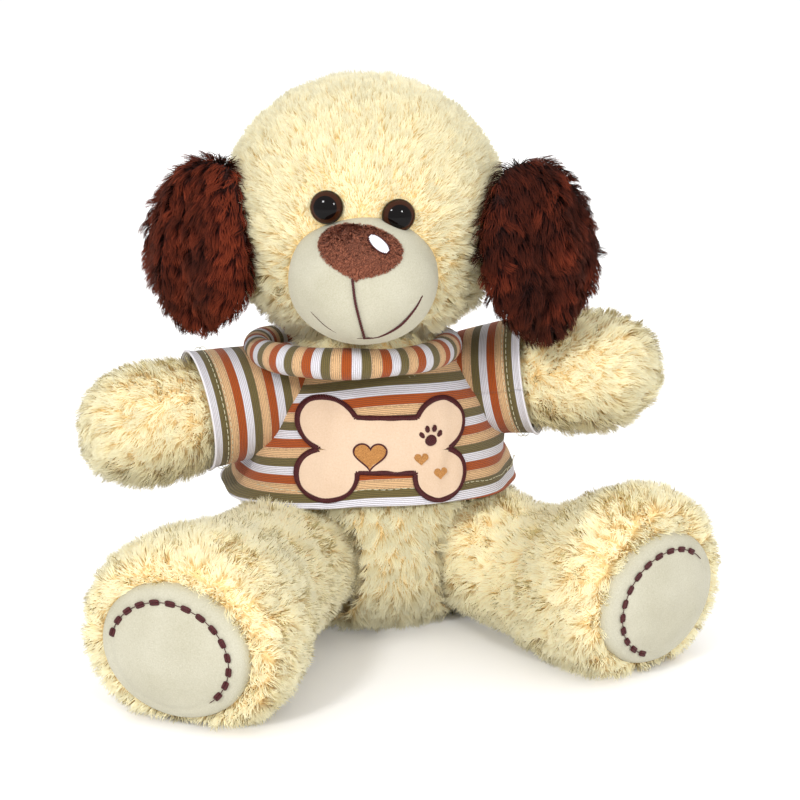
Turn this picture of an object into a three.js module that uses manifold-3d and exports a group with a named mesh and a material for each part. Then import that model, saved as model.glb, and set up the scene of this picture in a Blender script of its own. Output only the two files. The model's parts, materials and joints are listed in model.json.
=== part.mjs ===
// A seated plush dog in a striped knit shirt. Millimetres, +Z up, the face looks along -Y.
// The origin is the middle of the flat seat. Left and right are the dog's own: its left is +X.
import * as THREE from "three";
import { mergeVertices } from "three/addons/utils/BufferGeometryUtils.js";
import Module from "manifold-3d";

const wasm = await Module();
wasm.setup();

// ---------- driving dimensions ----------
const GAP = 0.35; // between pieces that touch
const PLAY = 0.8; // between pieces that move on each other
const FUR = 5; // fur fabric with its pile pressed to the fur's mean surface
const VELOUR = 2.2; // short pile fabric of muzzle and soles
const KNIT = 2.4; // shirt fabric
const ROUND = 22; // sides of the large round pieces
const SMALL = 18; // sides of the smaller ones

const TORSO_YAW = 13; // the trunk is turned a little to its left under the head
const TORSO_DEPTH = 0.9; // depth of the trunk as a share of its width
const TORSO_PROFILE = [[0, 0], [48, 0], [62, 8], [69, 24], [71, 46], [69, 74], [64, 98],
  [55, 121], [41, 138], [0, 143]]; // radius, height

const HEAD_AT = [-5, -8, 217];
const HEAD_HALF = [71, 68, 71];
const NECK_AT = [-3, -4, 146]; // where the head nods and turns
const NECK_RADIUS = 22;
const NOD = [-10, 3]; // degrees, forward is positive
const TURN = [-20, 6]; // degrees, towards the dog's left is positive

const MUZZLE_AT = [-5.5, -65, 192];
const MUZZLE_HALF = [34, 36, 32];
const NOSE_AT = [-5.5, -92, 212];
const NOSE_TILT = 38; // how far the nose leans back from upright
const NOSE_ROLL = -9; // the face is sewn a little askew

const EYE_RADIUS = 7.5;
const EYES = {
  right: [-22, 230],
  left: [12.5, 226],
}; // x and z of each eye on the front of the head

const EARS = {
  right: { at: [-87, -29, 203], half: [21, 38, 47], turn: 52, lean: 5, hinge: [-63, -12, 247] },
  left: { at: [83, -36, 201], half: [20, 37, 49], turn: -56, lean: -7, hinge: [54, -20, 248] },
};
const EAR_WADDING = 7; // fur fabric on each face of an ear
const EAR_LIFT = [0, 55];

const ARM_PIVOT_X = 46;
const ARM_PIVOT_Z = 120;
const ARM_PROFILE = [[17, -17], [23, -7], [24, 3], [25.5, 24], [26.5, 42], [31, 56], [32.5, 74],
  [27.5, 93], [16, 105], [0, 109]]; // radius, distance from the shoulder
const ARMS = {
  right: { along: [-0.93, -0.35, -0.1], swing: [-18, 10], cuff: 46 },
  left: { along: [0.94, -0.22, 0.17], swing: [-25, 5], cuff: 36 },
};
const SLEEVE_FROM = 9; // distance from the shoulder
const SLEEVE_RADII = [26.8, 28.8];

const HIP_X = 46;
const HIP_Y = -24;
const HIP_Z = 41;
const LEG_PROFILE = [[20, -27], [30, -15], [34, 3], [35.5, 40], [39, 62], [47, 84],
  [50.5, 106], [47, 127], [34, 144], [0, 152]]; // radius, distance from the hip
const FOOT_CENTRE = 104;
// The stuffing gives, so each leg has its own length, and its foot turns a little on it.
const LEGS = {
  right: { yaw: -22, stretch: 8, turn: 0, splay: [-8, 12] },
  left: { yaw: 50, stretch: -9, turn: -9, splay: [-8, 12] },
};
const SOLE_PITCH = 4; // the soles face forwards and a little down
const SOLE_CUT = 24; // from the foot's centre to the plane of the sole
const SOLE_RADIUS = 33.5;
const SOLE_WIDTH = 1.04; // width over height
const SOLE_BULGE = 8;
const STITCH_RADIUS = 28;
const STITCH_COUNT = 14;

const TAIL_AT = [0, 65, 36];
const TAIL_LENGTH = 52;
const TAIL_RADIUS = 14;
const TAIL_RISE = 20;
const WAG = [-22, 22];

const HEM_Z = 72;
const SHIRT_TOP = 137;
const COLLAR_AT = [-12, -12, 144.5];
const COLLAR_RADIUS = 50;
const COLLAR_TUBE = 6;
const COLLAR_TILT = -5; // the collar's front is a little higher than its back

const BONE_AT = [-6, 102.5]; // middle of the patch: along the trunk's width, and height
const BONE_HALF = [27.5, 12.6]; // from the middle to the knobs' centres
const BONE_KNOB = 13.2;

const CREAM = { color: 0xefdfae, roughness: 0.95, metalness: 0 };
const BROWN = { color: 0x4f1b0c, roughness: 0.95, metalness: 0 };
const PALE = { color: 0xf0e6cc, roughness: 0.9, metalness: 0 };
const NOSE_BROWN = { color: 0x6b3f33, roughness: 0.9, metalness: 0 };
const THREAD = { color: 0x3e1c1e, roughness: 0.6, metalness: 0 };
const WHITE = { color: 0xf4f4fa, roughness: 0.5, metalness: 0 };
const STUFFING = { color: 0xf2f2f0, roughness: 1, metalness: 0 };
const STRIPES = { color: 0xb9803f, roughness: 0.9, metalness: 0 };
const PATCH = { color: 0xe8cdb0, roughness: 0.9, metalness: 0 };
const TAN_THREAD = { color: 0xb98145, roughness: 0.6, metalness: 0 };
const LENS = { color: 0x4a2413, roughness: 0.05, metalness: 0 };
const BLACK = { color: 0x050505, roughness: 0.1, metalness: 0 };
const NYLON = { color: 0xe8e8e4, roughness: 0.5, metalness: 0 };
const LINEN = { color: 0xdcd6c4, roughness: 0.9, metalness: 0 };

// ---------- solids ----------
// A closed three.js geometry as a solid that can be cut and joined.
function solidOf(geometry) {
  const bare = geometry.clone();
  bare.deleteAttribute("normal");
  bare.deleteAttribute("uv");
  const merged = mergeVertices(bare, 1e-4);
  const corners = merged.index.array;
  const triVerts = [];
  for (let i = 0; i < corners.length; i += 3) {
    const [a, b, c] = corners.slice(i, i + 3);
    if (a !== b && b !== c && c !== a) triVerts.push(a, b, c);
  }
  return new wasm.Manifold(new wasm.Mesh({
    numProp: 3,
    vertProperties: merged.attributes.position.array,
    triVerts: new Uint32Array(triVerts),
  }));
}

function geometryOf(solid) {
  const mesh = solid.getMesh();
  const geometry = new THREE.BufferGeometry();
  geometry.setAttribute("position", new THREE.BufferAttribute(mesh.vertProperties, 3));
  geometry.setIndex(new THREE.BufferAttribute(mesh.triVerts, 1));
  return geometry;
}

const radians = (degrees) => THREE.MathUtils.degToRad(degrees);

function ellipsoid(half, at = [0, 0, 0], grow = 0, sides = ROUND) {
  const [a, b, c] = half.map((x) => x + grow);
  return new THREE.SphereGeometry(1, sides, Math.round(sides / 2))
    .rotateX(Math.PI / 2)
    .scale(a, b, c)
    .translate(...at);
}

const ball = (radius, at, sides = ROUND) => ellipsoid([radius, radius, radius], at, 0, sides);

// A profile of [radius, height] pairs moved out by grow, or in if grow is negative.
function grown(profile, grow) {
  return profile.map(([radius, height], i) => {
    const [r0, h0] = profile[Math.max(i - 1, 0)];
    const [r1, h1] = profile[Math.min(i + 1, profile.length - 1)];
    const normal = new THREE.Vector2(h1 - h0, r0 - r1).normalize();
    if (radius === 0) return [0, height + grow * Math.sign(i - 1)];
    return [Math.max(radius + normal.x * grow, 0.5), height + normal.y * grow];
  });
}

// A solid of revolution about Y. An open end is closed on the axis with a flat disc.
function turned(profile, sides = ROUND) {
  const points = profile.map(([radius, height]) => new THREE.Vector2(radius, height));
  if (points[0].x > 0) points.unshift(new THREE.Vector2(0, points[0].y));
  if (points.at(-1).x > 0) points.push(new THREE.Vector2(0, points.at(-1).y));
  return new THREE.LatheGeometry(points, sides);
}

// A closed ring whose section is the given loop of [radius, height] pairs, about Y.
function ring(loop, sides = ROUND) {
  const points = [...loop, loop[0]].map(([radius, height]) => new THREE.Vector2(radius, height));
  return new THREE.LatheGeometry(points, sides);
}

// A rod of the given radius along Z between two heights.
function rod(radius, low, high, sides = 16) {
  return new THREE.CylinderGeometry(radius, radius, high - low, sides)
    .rotateX(Math.PI / 2)
    .translate(0, 0, (low + high) / 2);
}

// The same geometry turned about an axis through a pivot.
function turnedAbout(geometry, pivot, axis, degrees) {
  const turn = new THREE.Matrix4().makeRotationAxis(new THREE.Vector3(...axis).normalize(), radians(degrees));
  const there = new THREE.Matrix4().makeTranslation(...pivot);
  const back = new THREE.Matrix4().makeTranslation(...pivot.map((x) => -x));
  return geometry.clone().applyMatrix4(there.multiply(turn).multiply(back));
}

// Everywhere that a geometry passes as it turns through a range about a pivot, as one solid.
function sweptSolid(geometry, pivot, axis, range, step = 12) {
  const count = Math.max(Math.ceil((range[1] - range[0]) / step), 1);
  let all = null;
  for (let i = 0; i <= count; i++) {
    const degrees = range[0] + ((range[1] - range[0]) * i) / count;
    const one = solidOf(turnedAbout(geometry, pivot, axis, degrees));
    all = all ? all.add(one) : one;
  }
  return all;
}

// ---------- scene helpers ----------
const dog = new THREE.Group();

// Every piece is built where it lies at rest, in the dog's own frame, and hangs in its limb's group.
function limb() {
  const group = new THREE.Group();
  dog.add(group);
  return group;
}

function piece(name, solid, finish, parent) {
  const mesh = new THREE.Mesh(geometryOf(solid), new THREE.MeshStandardMaterial(finish));
  mesh.name = name;
  parent.add(mesh);
  return mesh;
}

// ---------- shapes that several pieces share ----------
const torsoTurn = new THREE.Matrix4().makeRotationZ(radians(TORSO_YAW));

// A point given in the trunk's own frame, in the dog's frame.
const onTorso = (x, y, z) => new THREE.Vector3(x, y, z).applyMatrix4(torsoTurn).toArray();

function torsoShape(grow) {
  return turned(grown(TORSO_PROFILE, grow))
    .rotateX(Math.PI / 2)
    .scale(1, TORSO_DEPTH, 1)
    .applyMatrix4(torsoTurn);
}

const headShape = (grow) => ellipsoid(HEAD_HALF, HEAD_AT, grow);
const muzzleShape = (grow) => ellipsoid(MUZZLE_HALF, MUZZLE_AT, grow);

function limbMatrix(pivot, along) {
  const turn = new THREE.Quaternion().setFromUnitVectors(
    new THREE.Vector3(0, 1, 0), new THREE.Vector3(...along).normalize());
  return new THREE.Matrix4().compose(new THREE.Vector3(...pivot), turn, new THREE.Vector3(1, 1, 1));
}

const sideSign = { left: 1, right: -1 };

const arms = Object.fromEntries(Object.entries(ARMS).map(([side, { along, swing, cuff }]) => {
  const pivot = onTorso(sideSign[side] * ARM_PIVOT_X, 0, ARM_PIVOT_Z);
  const matrix = limbMatrix(pivot, along);
  return [side, { pivot, matrix, cuff, range: swing, axis: [0, -sideSign[side], 0] }];
}));

const legs = Object.fromEntries(Object.entries(LEGS).map(([side, { yaw, splay, stretch, turn }]) => {
  const pivot = onTorso(sideSign[side] * HIP_X, HIP_Y, HIP_Z);
  const matrix = new THREE.Matrix4()
    .makeTranslation(...pivot)
    .multiply(new THREE.Matrix4().makeRotationZ(Math.PI + radians(yaw)));
  return [side, { pivot, matrix, stretch, turn, range: splay, axis: [0, 0, sideSign[side]] }];
}));

const armShape = (side, grow) => turned(grown(ARM_PROFILE, grow), SMALL).applyMatrix4(arms[side].matrix);
function legShape(side, grow) {
  const { matrix, stretch } = legs[side];
  const profile = LEG_PROFILE.map(([radius, along]) => [radius, along > 60 ? along + stretch : along]);
  return turned(grown(profile, grow), 20).applyMatrix4(matrix);
}

function collarShape(grow) {
  return new THREE.TorusGeometry(COLLAR_RADIUS, COLLAR_TUBE + grow, 7, 30)
    .rotateX(radians(COLLAR_TILT))
    .translate(...COLLAR_AT);
}

// A sleeve is a cone round the arm, trimmed where it would meet the shirt or the collar as the arm swings.
function sleeveSolid(side) {
  const { pivot, matrix, cuff, range, axis } = arms[side];
  const loop = [
    [SLEEVE_RADII[0], SLEEVE_FROM], [SLEEVE_RADII[0] + KNIT, SLEEVE_FROM],
    [SLEEVE_RADII[1] + KNIT, cuff], [SLEEVE_RADII[1], cuff],
  ];
  const back = range.map((x) => -x).reverse();
  return [torsoShape(GAP + KNIT + PLAY), collarShape(PLAY * 1.5)].reduce(
    (left, shape) => left.subtract(sweptSolid(shape, pivot, axis, back)),
    solidOf(ring(loop, SMALL).applyMatrix4(matrix)));
}

// What the trunk and the shirt leave free for a limb: a ball about its joint, and a cone round the limb
// at each end of the joint's range.
function limbRoom({ pivot, matrix, range, axis }, ballRadius, cone) {
  const [[r0, d0], [r1, d1]] = cone;
  const clear = PLAY * 1.6;
  const reach = new THREE.CylinderGeometry(r1 + clear, r0 + clear, d1 - d0, 20)
    .translate(0, (d0 + d1) / 2, 0)
    .applyMatrix4(matrix);
  return range.reduce(
    (room, degrees) => room.add(solidOf(turnedAbout(reach, pivot, axis, degrees))),
    solidOf(ball(ballRadius + PLAY, pivot, 20)));
}

const armRoom = (side) => limbRoom(arms[side], 24, [[24, 3], [28, 38]]);
const legRoom = (side) => limbRoom(legs[side], 34, [[34, 3], [36, 60]]);

const tailPivot = onTorso(...TAIL_AT);
const tailAlong = onTorso(0, Math.cos(radians(TAIL_RISE)), Math.sin(radians(TAIL_RISE)));
const tailMatrix = limbMatrix(tailPivot, tailAlong);
const TAIL_PROFILE = [[8, -7.5], [11, 0], [12, 12], [TAIL_RADIUS, 26],
  [TAIL_RADIUS - 1, 38], [TAIL_RADIUS * 0.6, 48], [0, TAIL_LENGTH]];
const tailShape = (grow) => turned(grown(TAIL_PROFILE, grow), 16).applyMatrix4(tailMatrix);

// ---------- trunk ----------
const torso = limb();
const rooms = [armRoom("left"), armRoom("right"), legRoom("left"), legRoom("right"),
  solidOf(ball(NECK_RADIUS + PLAY, NECK_AT, 20)),
  solidOf(ball(11 + PLAY * 1.5, tailPivot, SMALL))];
const withRooms = (solid) => rooms.reduce((left, room) => left.subtract(room), solid);

const PELLETS_HALF = [27, 20, 10];
const pelletsAt = onTorso(0, 14, FUR + 7);

function makeTorso() {
  const cover = withRooms(solidOf(torsoShape(0)).subtract(solidOf(torsoShape(-FUR))));
  const bagShape = (grow) => solidOf(ellipsoid(PELLETS_HALF, pelletsAt, grow, 20));
  const overFloor = solidOf(new THREE.BoxGeometry(120, 120, 60).translate(0, 0, 30 + FUR + 2 * GAP));
  const bag = bagShape(0).intersect(overFloor);
  const filling = withRooms(solidOf(torsoShape(-FUR - GAP))).subtract(bagShape(GAP));
  piece("torso_cover", cover, CREAM, torso);
  piece("torso_stuffing", filling, STUFFING, torso);
  piece("pellet_bag", bag, LINEN, torso);
}
makeTorso();

// ---------- shirt ----------
function makeShirt() {
  const band = solidOf(new THREE.BoxGeometry(300, 300, SHIRT_TOP - HEM_Z)
    .translate(0, 0, (SHIRT_TOP + HEM_Z) / 2));
  const shell = solidOf(torsoShape(GAP + KNIT)).subtract(solidOf(torsoShape(GAP))).intersect(band);
  piece("shirt_body", withRooms(shell), STRIPES, torso);
  const under = solidOf(torsoShape(GAP + KNIT + GAP));
  piece("shirt_collar", withRooms(solidOf(collarShape(0)).subtract(under)), STRIPES, torso);
}
makeShirt();

// The outline of a dog's bone: a bar with two round knobs at each end.
function boneShape(grow) {
  const [x, z] = BONE_HALF;
  const knob = BONE_KNOB + grow;
  const waist = 12 + grow;
  const meet = Math.acos(Math.min(z / knob, 1)); // where an end's two knobs cross
  const reach = Math.asin((z - waist) / knob); // where the bar runs into a knob
  const shape = new THREE.Shape();
  shape.absarc(x, z, knob, Math.PI + reach, -Math.PI / 2 + meet, true);
  shape.absarc(x, -z, knob, Math.PI / 2 - meet, -Math.PI - reach, true);
  shape.absarc(-x, -z, knob, reach, -Math.PI * 1.5 + meet, true);
  shape.absarc(-x, z, knob, -Math.PI / 2 - meet, -Math.PI * 2 - reach, true);
  return shape;
}

// A heart about its middle, as wide as size.
function heartShape(size) {
  const shape = new THREE.Shape();
  const s = size / 2;
  shape.moveTo(0, -s);
  shape.bezierCurveTo(-0.5 * s, -0.5 * s, -s, -0.1 * s, -s, 0.35 * s);
  shape.bezierCurveTo(-s, 0.95 * s, -0.2 * s, 1.05 * s, 0, 0.45 * s);
  shape.bezierCurveTo(0.2 * s, 1.05 * s, s, 0.95 * s, s, 0.35 * s);
  shape.bezierCurveTo(s, -0.1 * s, 0.5 * s, -0.5 * s, 0, -s);
  return shape;
}

// A flat outline seen from the front, cut out of the layer between two depths on the shirt's front.
function onShirt(shape, low, high, dx = 0, dz = 0) {
  const [x, z] = BONE_AT;
  const prism = new THREE.ExtrudeGeometry(shape, { depth: 90, bevelEnabled: false, curveSegments: 4 })
    .rotateX(Math.PI / 2)
    .translate(x + dx, 0, z + dz)
    .applyMatrix4(torsoTurn);
  return solidOf(torsoShape(GAP + KNIT + high))
    .subtract(solidOf(torsoShape(GAP + KNIT + low)))
    .intersect(solidOf(prism));
}

function makePatch() {
  const layer = GAP;
  const top = 1.3;
  const hole = boneShape(-1.5);
  piece("bone_patch", onShirt(boneShape(-1.5 - GAP), layer, top), PATCH, torso);
  const border = onShirt(boneShape(0), layer, top + 0.9).subtract(onShirt(hole, layer - 0.2, top + 1.2));
  piece("bone_border", border, THREAD, torso);
  const motif = (shape, high, dx, dz) => onShirt(shape, top + GAP, top + high, dx, dz);
  piece("heart_motif", motif(heartShape(15), 1.1, -8, -1.5), TAN_THREAD, torso);
  piece("small_heart_upper", motif(heartShape(7), 1.1, 17, -3.5), TAN_THREAD, torso);
  piece("small_heart_lower", motif(heartShape(7), 1.1, 27, -12), TAN_THREAD, torso);
  const disc = (radius) => new THREE.Shape().absarc(0, 0, radius, 0, Math.PI * 2, false);
  const toes = [[-3.6, 1, 1.2], [-1.5, 3.2, 1.3], [1.5, 3.2, 1.3], [3.6, 1, 1.2]];
  const paw = [[0, -1.6, 2.4], ...toes].reduce(
    (all, [x, z, radius]) => all.add(motif(disc(radius), 1.2, 22 + x, 7.5 + z)),
    motif(disc(4.6), 0.6, 22, 8));
  piece("paw_motif", paw, THREAD, torso);
}
makePatch();

// ---------- tail ----------
function makeTail() {
  const tail = limb();
  const mouth = solidOf(rod(5.5, -10, 0, 12).rotateX(-Math.PI / 2).applyMatrix4(tailMatrix));
  const cover = solidOf(tailShape(0)).subtract(solidOf(tailShape(-4))).subtract(mouth);
  piece("tail_cover", cover, CREAM, tail);
  piece("tail_stuffing", solidOf(tailShape(-4 - GAP)), STUFFING, tail);
}
makeTail();

// ---------- neck ----------
const neck = limb();
piece("neck_stuffing", solidOf(ball(NECK_RADIUS, NECK_AT, 16)), STUFFING, neck);

// ---------- head ----------
const head = limb();
const neckRoom = solidOf(ball(NECK_RADIUS + PLAY, NECK_AT, 20));

// The pose of an eye: its origin on the head's fabric, its Z pointing out.
function eyeMatrix([x, z]) {
  const [hx, hy, hz] = HEAD_AT;
  const [a, b, c] = HEAD_HALF.map((half) => half - 2.5);
  const u = (x - hx) / a;
  const w = (z - hz) / c;
  const y = hy - b * Math.sqrt(1 - u * u - w * w);
  const normal = new THREE.Vector3(u / a, (y - hy) / (b * b), w / c).normalize();
  const outward = normal.lerp(new THREE.Vector3(0, -1, 0), 0.35).normalize();
  const turn = new THREE.Quaternion().setFromUnitVectors(new THREE.Vector3(0, 0, 1), outward);
  return new THREE.Matrix4().compose(new THREE.Vector3(x, y, z), turn, new THREE.Vector3(1, 1, 1));
}
const eyeMatrices = Object.fromEntries(Object.entries(EYES).map(([side, at]) => [side, eyeMatrix(at)]));

const SHANK_RADIUS = 2.5;
const WASHER_RADIUS = 9;
const WASHER_DEPTH = 8; // from the eye's back to the washer's far face

function makeHead() {
  let cover = solidOf(headShape(0)).subtract(solidOf(headShape(-FUR))).subtract(neckRoom);
  let filling = solidOf(headShape(-FUR - GAP)).subtract(neckRoom);
  for (const matrix of Object.values(eyeMatrices)) {
    const seat = solidOf(rod(EYE_RADIUS + 0.5, -1.3, 12, 20).applyMatrix4(matrix));
    const shankHole = solidOf(rod(SHANK_RADIUS + GAP, -20, 0, 12).applyMatrix4(matrix));
    const washerRoom = solidOf(rod(WASHER_RADIUS + GAP, -WASHER_DEPTH - 6, 0, 20).applyMatrix4(matrix));
    cover = cover.subtract(seat).subtract(shankHole);
    filling = filling.subtract(washerRoom);
  }
  piece("head_cover", cover, CREAM, head);
  piece("head_stuffing", filling, STUFFING, head);
}
makeHead();

function makeEyes() {
  const lensCap = () => solidOf(ellipsoid([EYE_RADIUS, EYE_RADIUS, 5.2], [0, 0, 0], 0, SMALL))
    .intersect(solidOf(rod(EYE_RADIUS + 1, 0.2, 9)));
  for (const [side, matrix] of Object.entries(eyeMatrices)) {
    const lens = lensCap().subtract(solidOf(rod(4.6, -1, 1.5)));
    const pupil = solidOf(rod(4.3, 0.2, 1.2));
    const iris = solidOf(rod(EYE_RADIUS - 0.2, -1, -0.15, SMALL));
    const shank = [0, 3].reduce(
      (all, step) => all.add(solidOf(rod(SHANK_RADIUS, -9.5 - step / 2, -9 - step / 2, 8))),
      solidOf(rod(SHANK_RADIUS - 0.3, -12, -1.3, 8)));
    const washer = solidOf(rod(WASHER_RADIUS, -WASHER_DEPTH, -WASHER_DEPTH + 1.2, 20))
      .subtract(solidOf(rod(SHANK_RADIUS + 0.1, -20, 0, 12)));
    const parts = { lens: [lens, LENS], pupil: [pupil, BLACK], iris: [iris, LENS],
      shank: [shank, BLACK], washer: [washer, NYLON] };
    for (const [name, [solid, finish]] of Object.entries(parts)) {
      const placed = solidOf(geometryOf(solid).applyMatrix4(matrix));
      piece(`eye_${side}_${name}`, placed, finish, head);
    }
  }
}
makeEyes();

// ---------- muzzle, nose and mouth ----------
const headFull = () => solidOf(headShape(GAP));

// An outline facing along the muzzle's front, tilted back and rolled, as a long prism.
function facePrism(shape, at, tilt = 0, roll = 0) {
  return solidOf(new THREE.ExtrudeGeometry(shape, { depth: 60, bevelEnabled: false, curveSegments: 8 })
    .translate(0, 0, -30)
    .rotateZ(radians(roll))
    .rotateX(Math.PI / 2 - radians(tilt))
    .translate(...at));
}

function noseShape() {
  const shape = new THREE.Shape();
  shape.moveTo(0, -14);
  shape.bezierCurveTo(8, -13, 20, -8, 20.5, 0);
  shape.bezierCurveTo(20.5, 9, 12, 13.5, 0, 14);
  shape.bezierCurveTo(-12, 13.5, -20.5, 9, -20.5, 0);
  shape.bezierCurveTo(-20, -8, -8, -13, 0, -14);
  return shape;
}

// A strip of the given width along points [x, z].
function stripShape(points, width) {
  const line = new THREE.CatmullRomCurve3(points.map(([x, z]) => new THREE.Vector3(x, z, 0))).getPoints(9);
  const sides = [1, -1].map((sign) => line.map((p, i) => {
    const ahead = line[Math.min(i + 1, line.length - 1)];
    const behind = line[Math.max(i - 1, 0)];
    const along = new THREE.Vector2(ahead.x - behind.x, ahead.y - behind.y).normalize();
    return new THREE.Vector2(p.x - (along.y * sign * width) / 2, p.y + (along.x * sign * width) / 2);
  }));
  return new THREE.Shape([...sides[0].reverse(), ...sides[1]].reverse());
}

function layerOnMuzzle(low, high) {
  return solidOf(muzzleShape(high)).subtract(solidOf(muzzleShape(low)));
}

function makeMuzzle() {
  const shell = solidOf(muzzleShape(0)).subtract(solidOf(muzzleShape(-VELOUR)));
  piece("muzzle_cover", shell.subtract(headFull()), PALE, head);
  piece("muzzle_stuffing", solidOf(muzzleShape(-VELOUR - GAP)).subtract(headFull()), STUFFING, head);
  const glint = new THREE.Shape().absellipse(0, 0, 4.4, 2, 0, Math.PI * 2, false);
  const glintAt = [4, -92, 217];
  const nose = layerOnMuzzle(GAP, 2.6).intersect(facePrism(noseShape(), NOSE_AT, NOSE_TILT, NOSE_ROLL))
    .subtract(facePrism(glint, glintAt, NOSE_TILT, -38));
  const inner = new THREE.Shape().absellipse(0, 0, 4, 1.6, 0, Math.PI * 2, false);
  piece("nose_patch", nose.subtract(headFull()), NOSE_BROWN, head);
  piece("nose_glint",
    layerOnMuzzle(GAP, 3).intersect(facePrism(inner, glintAt, NOSE_TILT, -38)), WHITE, head);
  const seam = stripShape([[-9, 199.5], [-8, 190], [-5.5, 179], [-3.5, 169]], 1.6);
  const smile = stripShape([[-30, 182], [-19, 173], [-3.5, 168.5], [11, 174], [22, 187]], 1.5);
  const front = (shape) => facePrism(shape, [0, -92, 0]);
  const mouth = layerOnMuzzle(GAP, 1.2).intersect(front(seam).add(front(smile)));
  const ahead = solidOf(new THREE.BoxGeometry(120, 120, 120).translate(0, MUZZLE_AT[1] - 60, MUZZLE_AT[2]));
  piece("mouth_embroidery", mouth.intersect(ahead).subtract(headFull()), THREAD, head);
}
makeMuzzle();

// ---------- ears ----------
function makeEar(side) {
  const ear = limb();
  const { at, half, turn, lean, hinge } = EARS[side];
  const shape = (grow) => ellipsoid(half, [0, 0, 0], grow, SMALL)
    .rotateY(radians(lean))
    .rotateZ(radians(turn))
    .translate(...at);
  const outward = [0, -sideSign[side], 0];
  const headInItsWay = sweptSolid(headShape(PLAY), hinge, outward, EAR_LIFT.map((x) => -x).reverse());
  const whole = solidOf(shape(0)).subtract(headInItsWay);
  const core = solidOf(shape(-EAR_WADDING)).subtract(
    sweptSolid(headShape(PLAY + 3), hinge, outward, EAR_LIFT.map((x) => -x).reverse()));
  const slit = solidOf(new THREE.BoxGeometry(16, 26, 12).rotateZ(radians(turn))
    .translate(...hinge.map((x, i) => x * 0.55 + at[i] * 0.45)));
  piece(`ear_${side}_cover`, whole.subtract(core).subtract(slit), BROWN, ear);
  const wadding = solidOf(shape(-EAR_WADDING - GAP)).subtract(
    sweptSolid(headShape(PLAY + 3 + GAP), hinge, outward, EAR_LIFT.map((x) => -x).reverse()));
  piece(`ear_${side}_wadding`, wadding, STUFFING, ear);
}
makeEar("left");
makeEar("right");

// ---------- arms ----------
function makeArm(side) {
  const arm = limb();
  const { matrix } = arms[side];
  const mouth = solidOf(rod(14, -30, 0, 16).rotateX(-Math.PI / 2).applyMatrix4(matrix));
  const cover = solidOf(armShape(side, 0)).subtract(solidOf(armShape(side, -FUR))).subtract(mouth);
  piece(`arm_${side}_cover`, cover, CREAM, arm);
  piece(`arm_${side}_stuffing`, solidOf(armShape(side, -FUR - GAP)), STUFFING, arm);
  piece(`sleeve_${side}`, sleeveSolid(side), STRIPES, arm);
}
makeArm("left");
makeArm("right");

// ---------- legs ----------
// The pose of a sole: its origin in the plane of the sole, its Z pointing out of the foot.
function soleMatrix(side) {
  const { matrix, stretch, turn } = legs[side];
  const pitch = radians(SOLE_PITCH);
  const local = new THREE.Matrix4()
    .makeTranslation(0, FOOT_CENTRE + stretch, 0)
    .multiply(new THREE.Matrix4().makeRotationZ(radians(turn)))
    .multiply(new THREE.Matrix4().makeRotationX(-Math.PI / 2 - pitch))
    .multiply(new THREE.Matrix4().makeTranslation(0, 0, SOLE_CUT));
  return matrix.clone().multiply(local);
}

// A shallow dome on the plane z = 0, its rim at the given radius.
function dome(radius, bulge, rim, sides = ROUND) {
  const profile = [[0, 0], [radius, 0], [radius, rim]];
  for (const share of [0.85, 0.65, 0.45, 0.22])
    profile.push([radius * share, rim + bulge * (1 - share * share)]);
  profile.push([0, rim + bulge]);
  return turned(profile, sides).rotateX(Math.PI / 2);
}

// A running stitch round the sole: short thick stitches strung on one thin thread.
function stitchRing() {
  const height = (radius) => 1.6 + SOLE_BULGE * (1 - (radius / SOLE_RADIUS) ** 2) + GAP;
  const z = height(STITCH_RADIUS - 1.5) + 0.7;
  let all = solidOf(new THREE.TorusGeometry(STITCH_RADIUS, 0.55, 3, 36).translate(0, 0, z));
  for (let i = 0; i < STITCH_COUNT; i++) {
    const angle = (i / STITCH_COUNT) * 360;
    const stitch = new THREE.BoxGeometry(2.2, 5.2, 1.1)
      .translate(STITCH_RADIUS, 0, z)
      .rotateZ(radians(angle));
    all = all.add(solidOf(stitch));
  }
  return all;
}

function makeLeg(side) {
  const leg = limb();
  const { matrix } = legs[side];
  const sole = soleMatrix(side);
  const overFloor = solidOf(new THREE.BoxGeometry(800, 800, 200).translate(0, 0, 100));
  const mouth = solidOf(rod(16, -40, 0, 16).rotateX(-Math.PI / 2).applyMatrix4(matrix));
  const shaped = (grow) => {
    const lifted = overFloor.translate([0, 0, -grow]);
    const back = solidOf(new THREE.BoxGeometry(200, 200, 120).translate(0, 0, 60 + Math.min(grow, 0))
      .applyMatrix4(sole));
    return solidOf(legShape(side, grow)).intersect(lifted).subtract(back);
  };
  piece(`leg_${side}_cover`, shaped(0).subtract(shaped(-FUR)).subtract(mouth), CREAM, leg);
  piece(`leg_${side}_stuffing`, shaped(-FUR - GAP), STUFFING, leg);
  const pad = solidOf(dome(SOLE_RADIUS, SOLE_BULGE, 1.6)
    .scale(SOLE_WIDTH, 1, 1)
    .translate(0, 0, GAP)
    .applyMatrix4(sole))
    .intersect(overFloor);
  piece(`sole_${side}`, pad, PALE, leg);
  const padRoom = solidOf(dome(SOLE_RADIUS + GAP, SOLE_BULGE, 1.6 + GAP)
    .scale(SOLE_WIDTH, 1, 1)
    .translate(0, 0, GAP)
    .applyMatrix4(sole));
  const ringed = geometryOf(stitchRing()).scale(SOLE_WIDTH, 1, 1).applyMatrix4(sole);
  const stitches = solidOf(ringed).subtract(padRoom)
    .intersect(overFloor);
  piece(`sole_${side}_stitching`, stitches, THREAD, leg);
}
makeLeg("left");
makeLeg("right");

export default dog;
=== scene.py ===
import json
import math

import bpy
import numpy as np
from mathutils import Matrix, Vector
from mathutils.bvhtree import BVHTree
from mathutils.geometry import delaunay_2d_cdt
from mathutils.kdtree import KDTree


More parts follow.
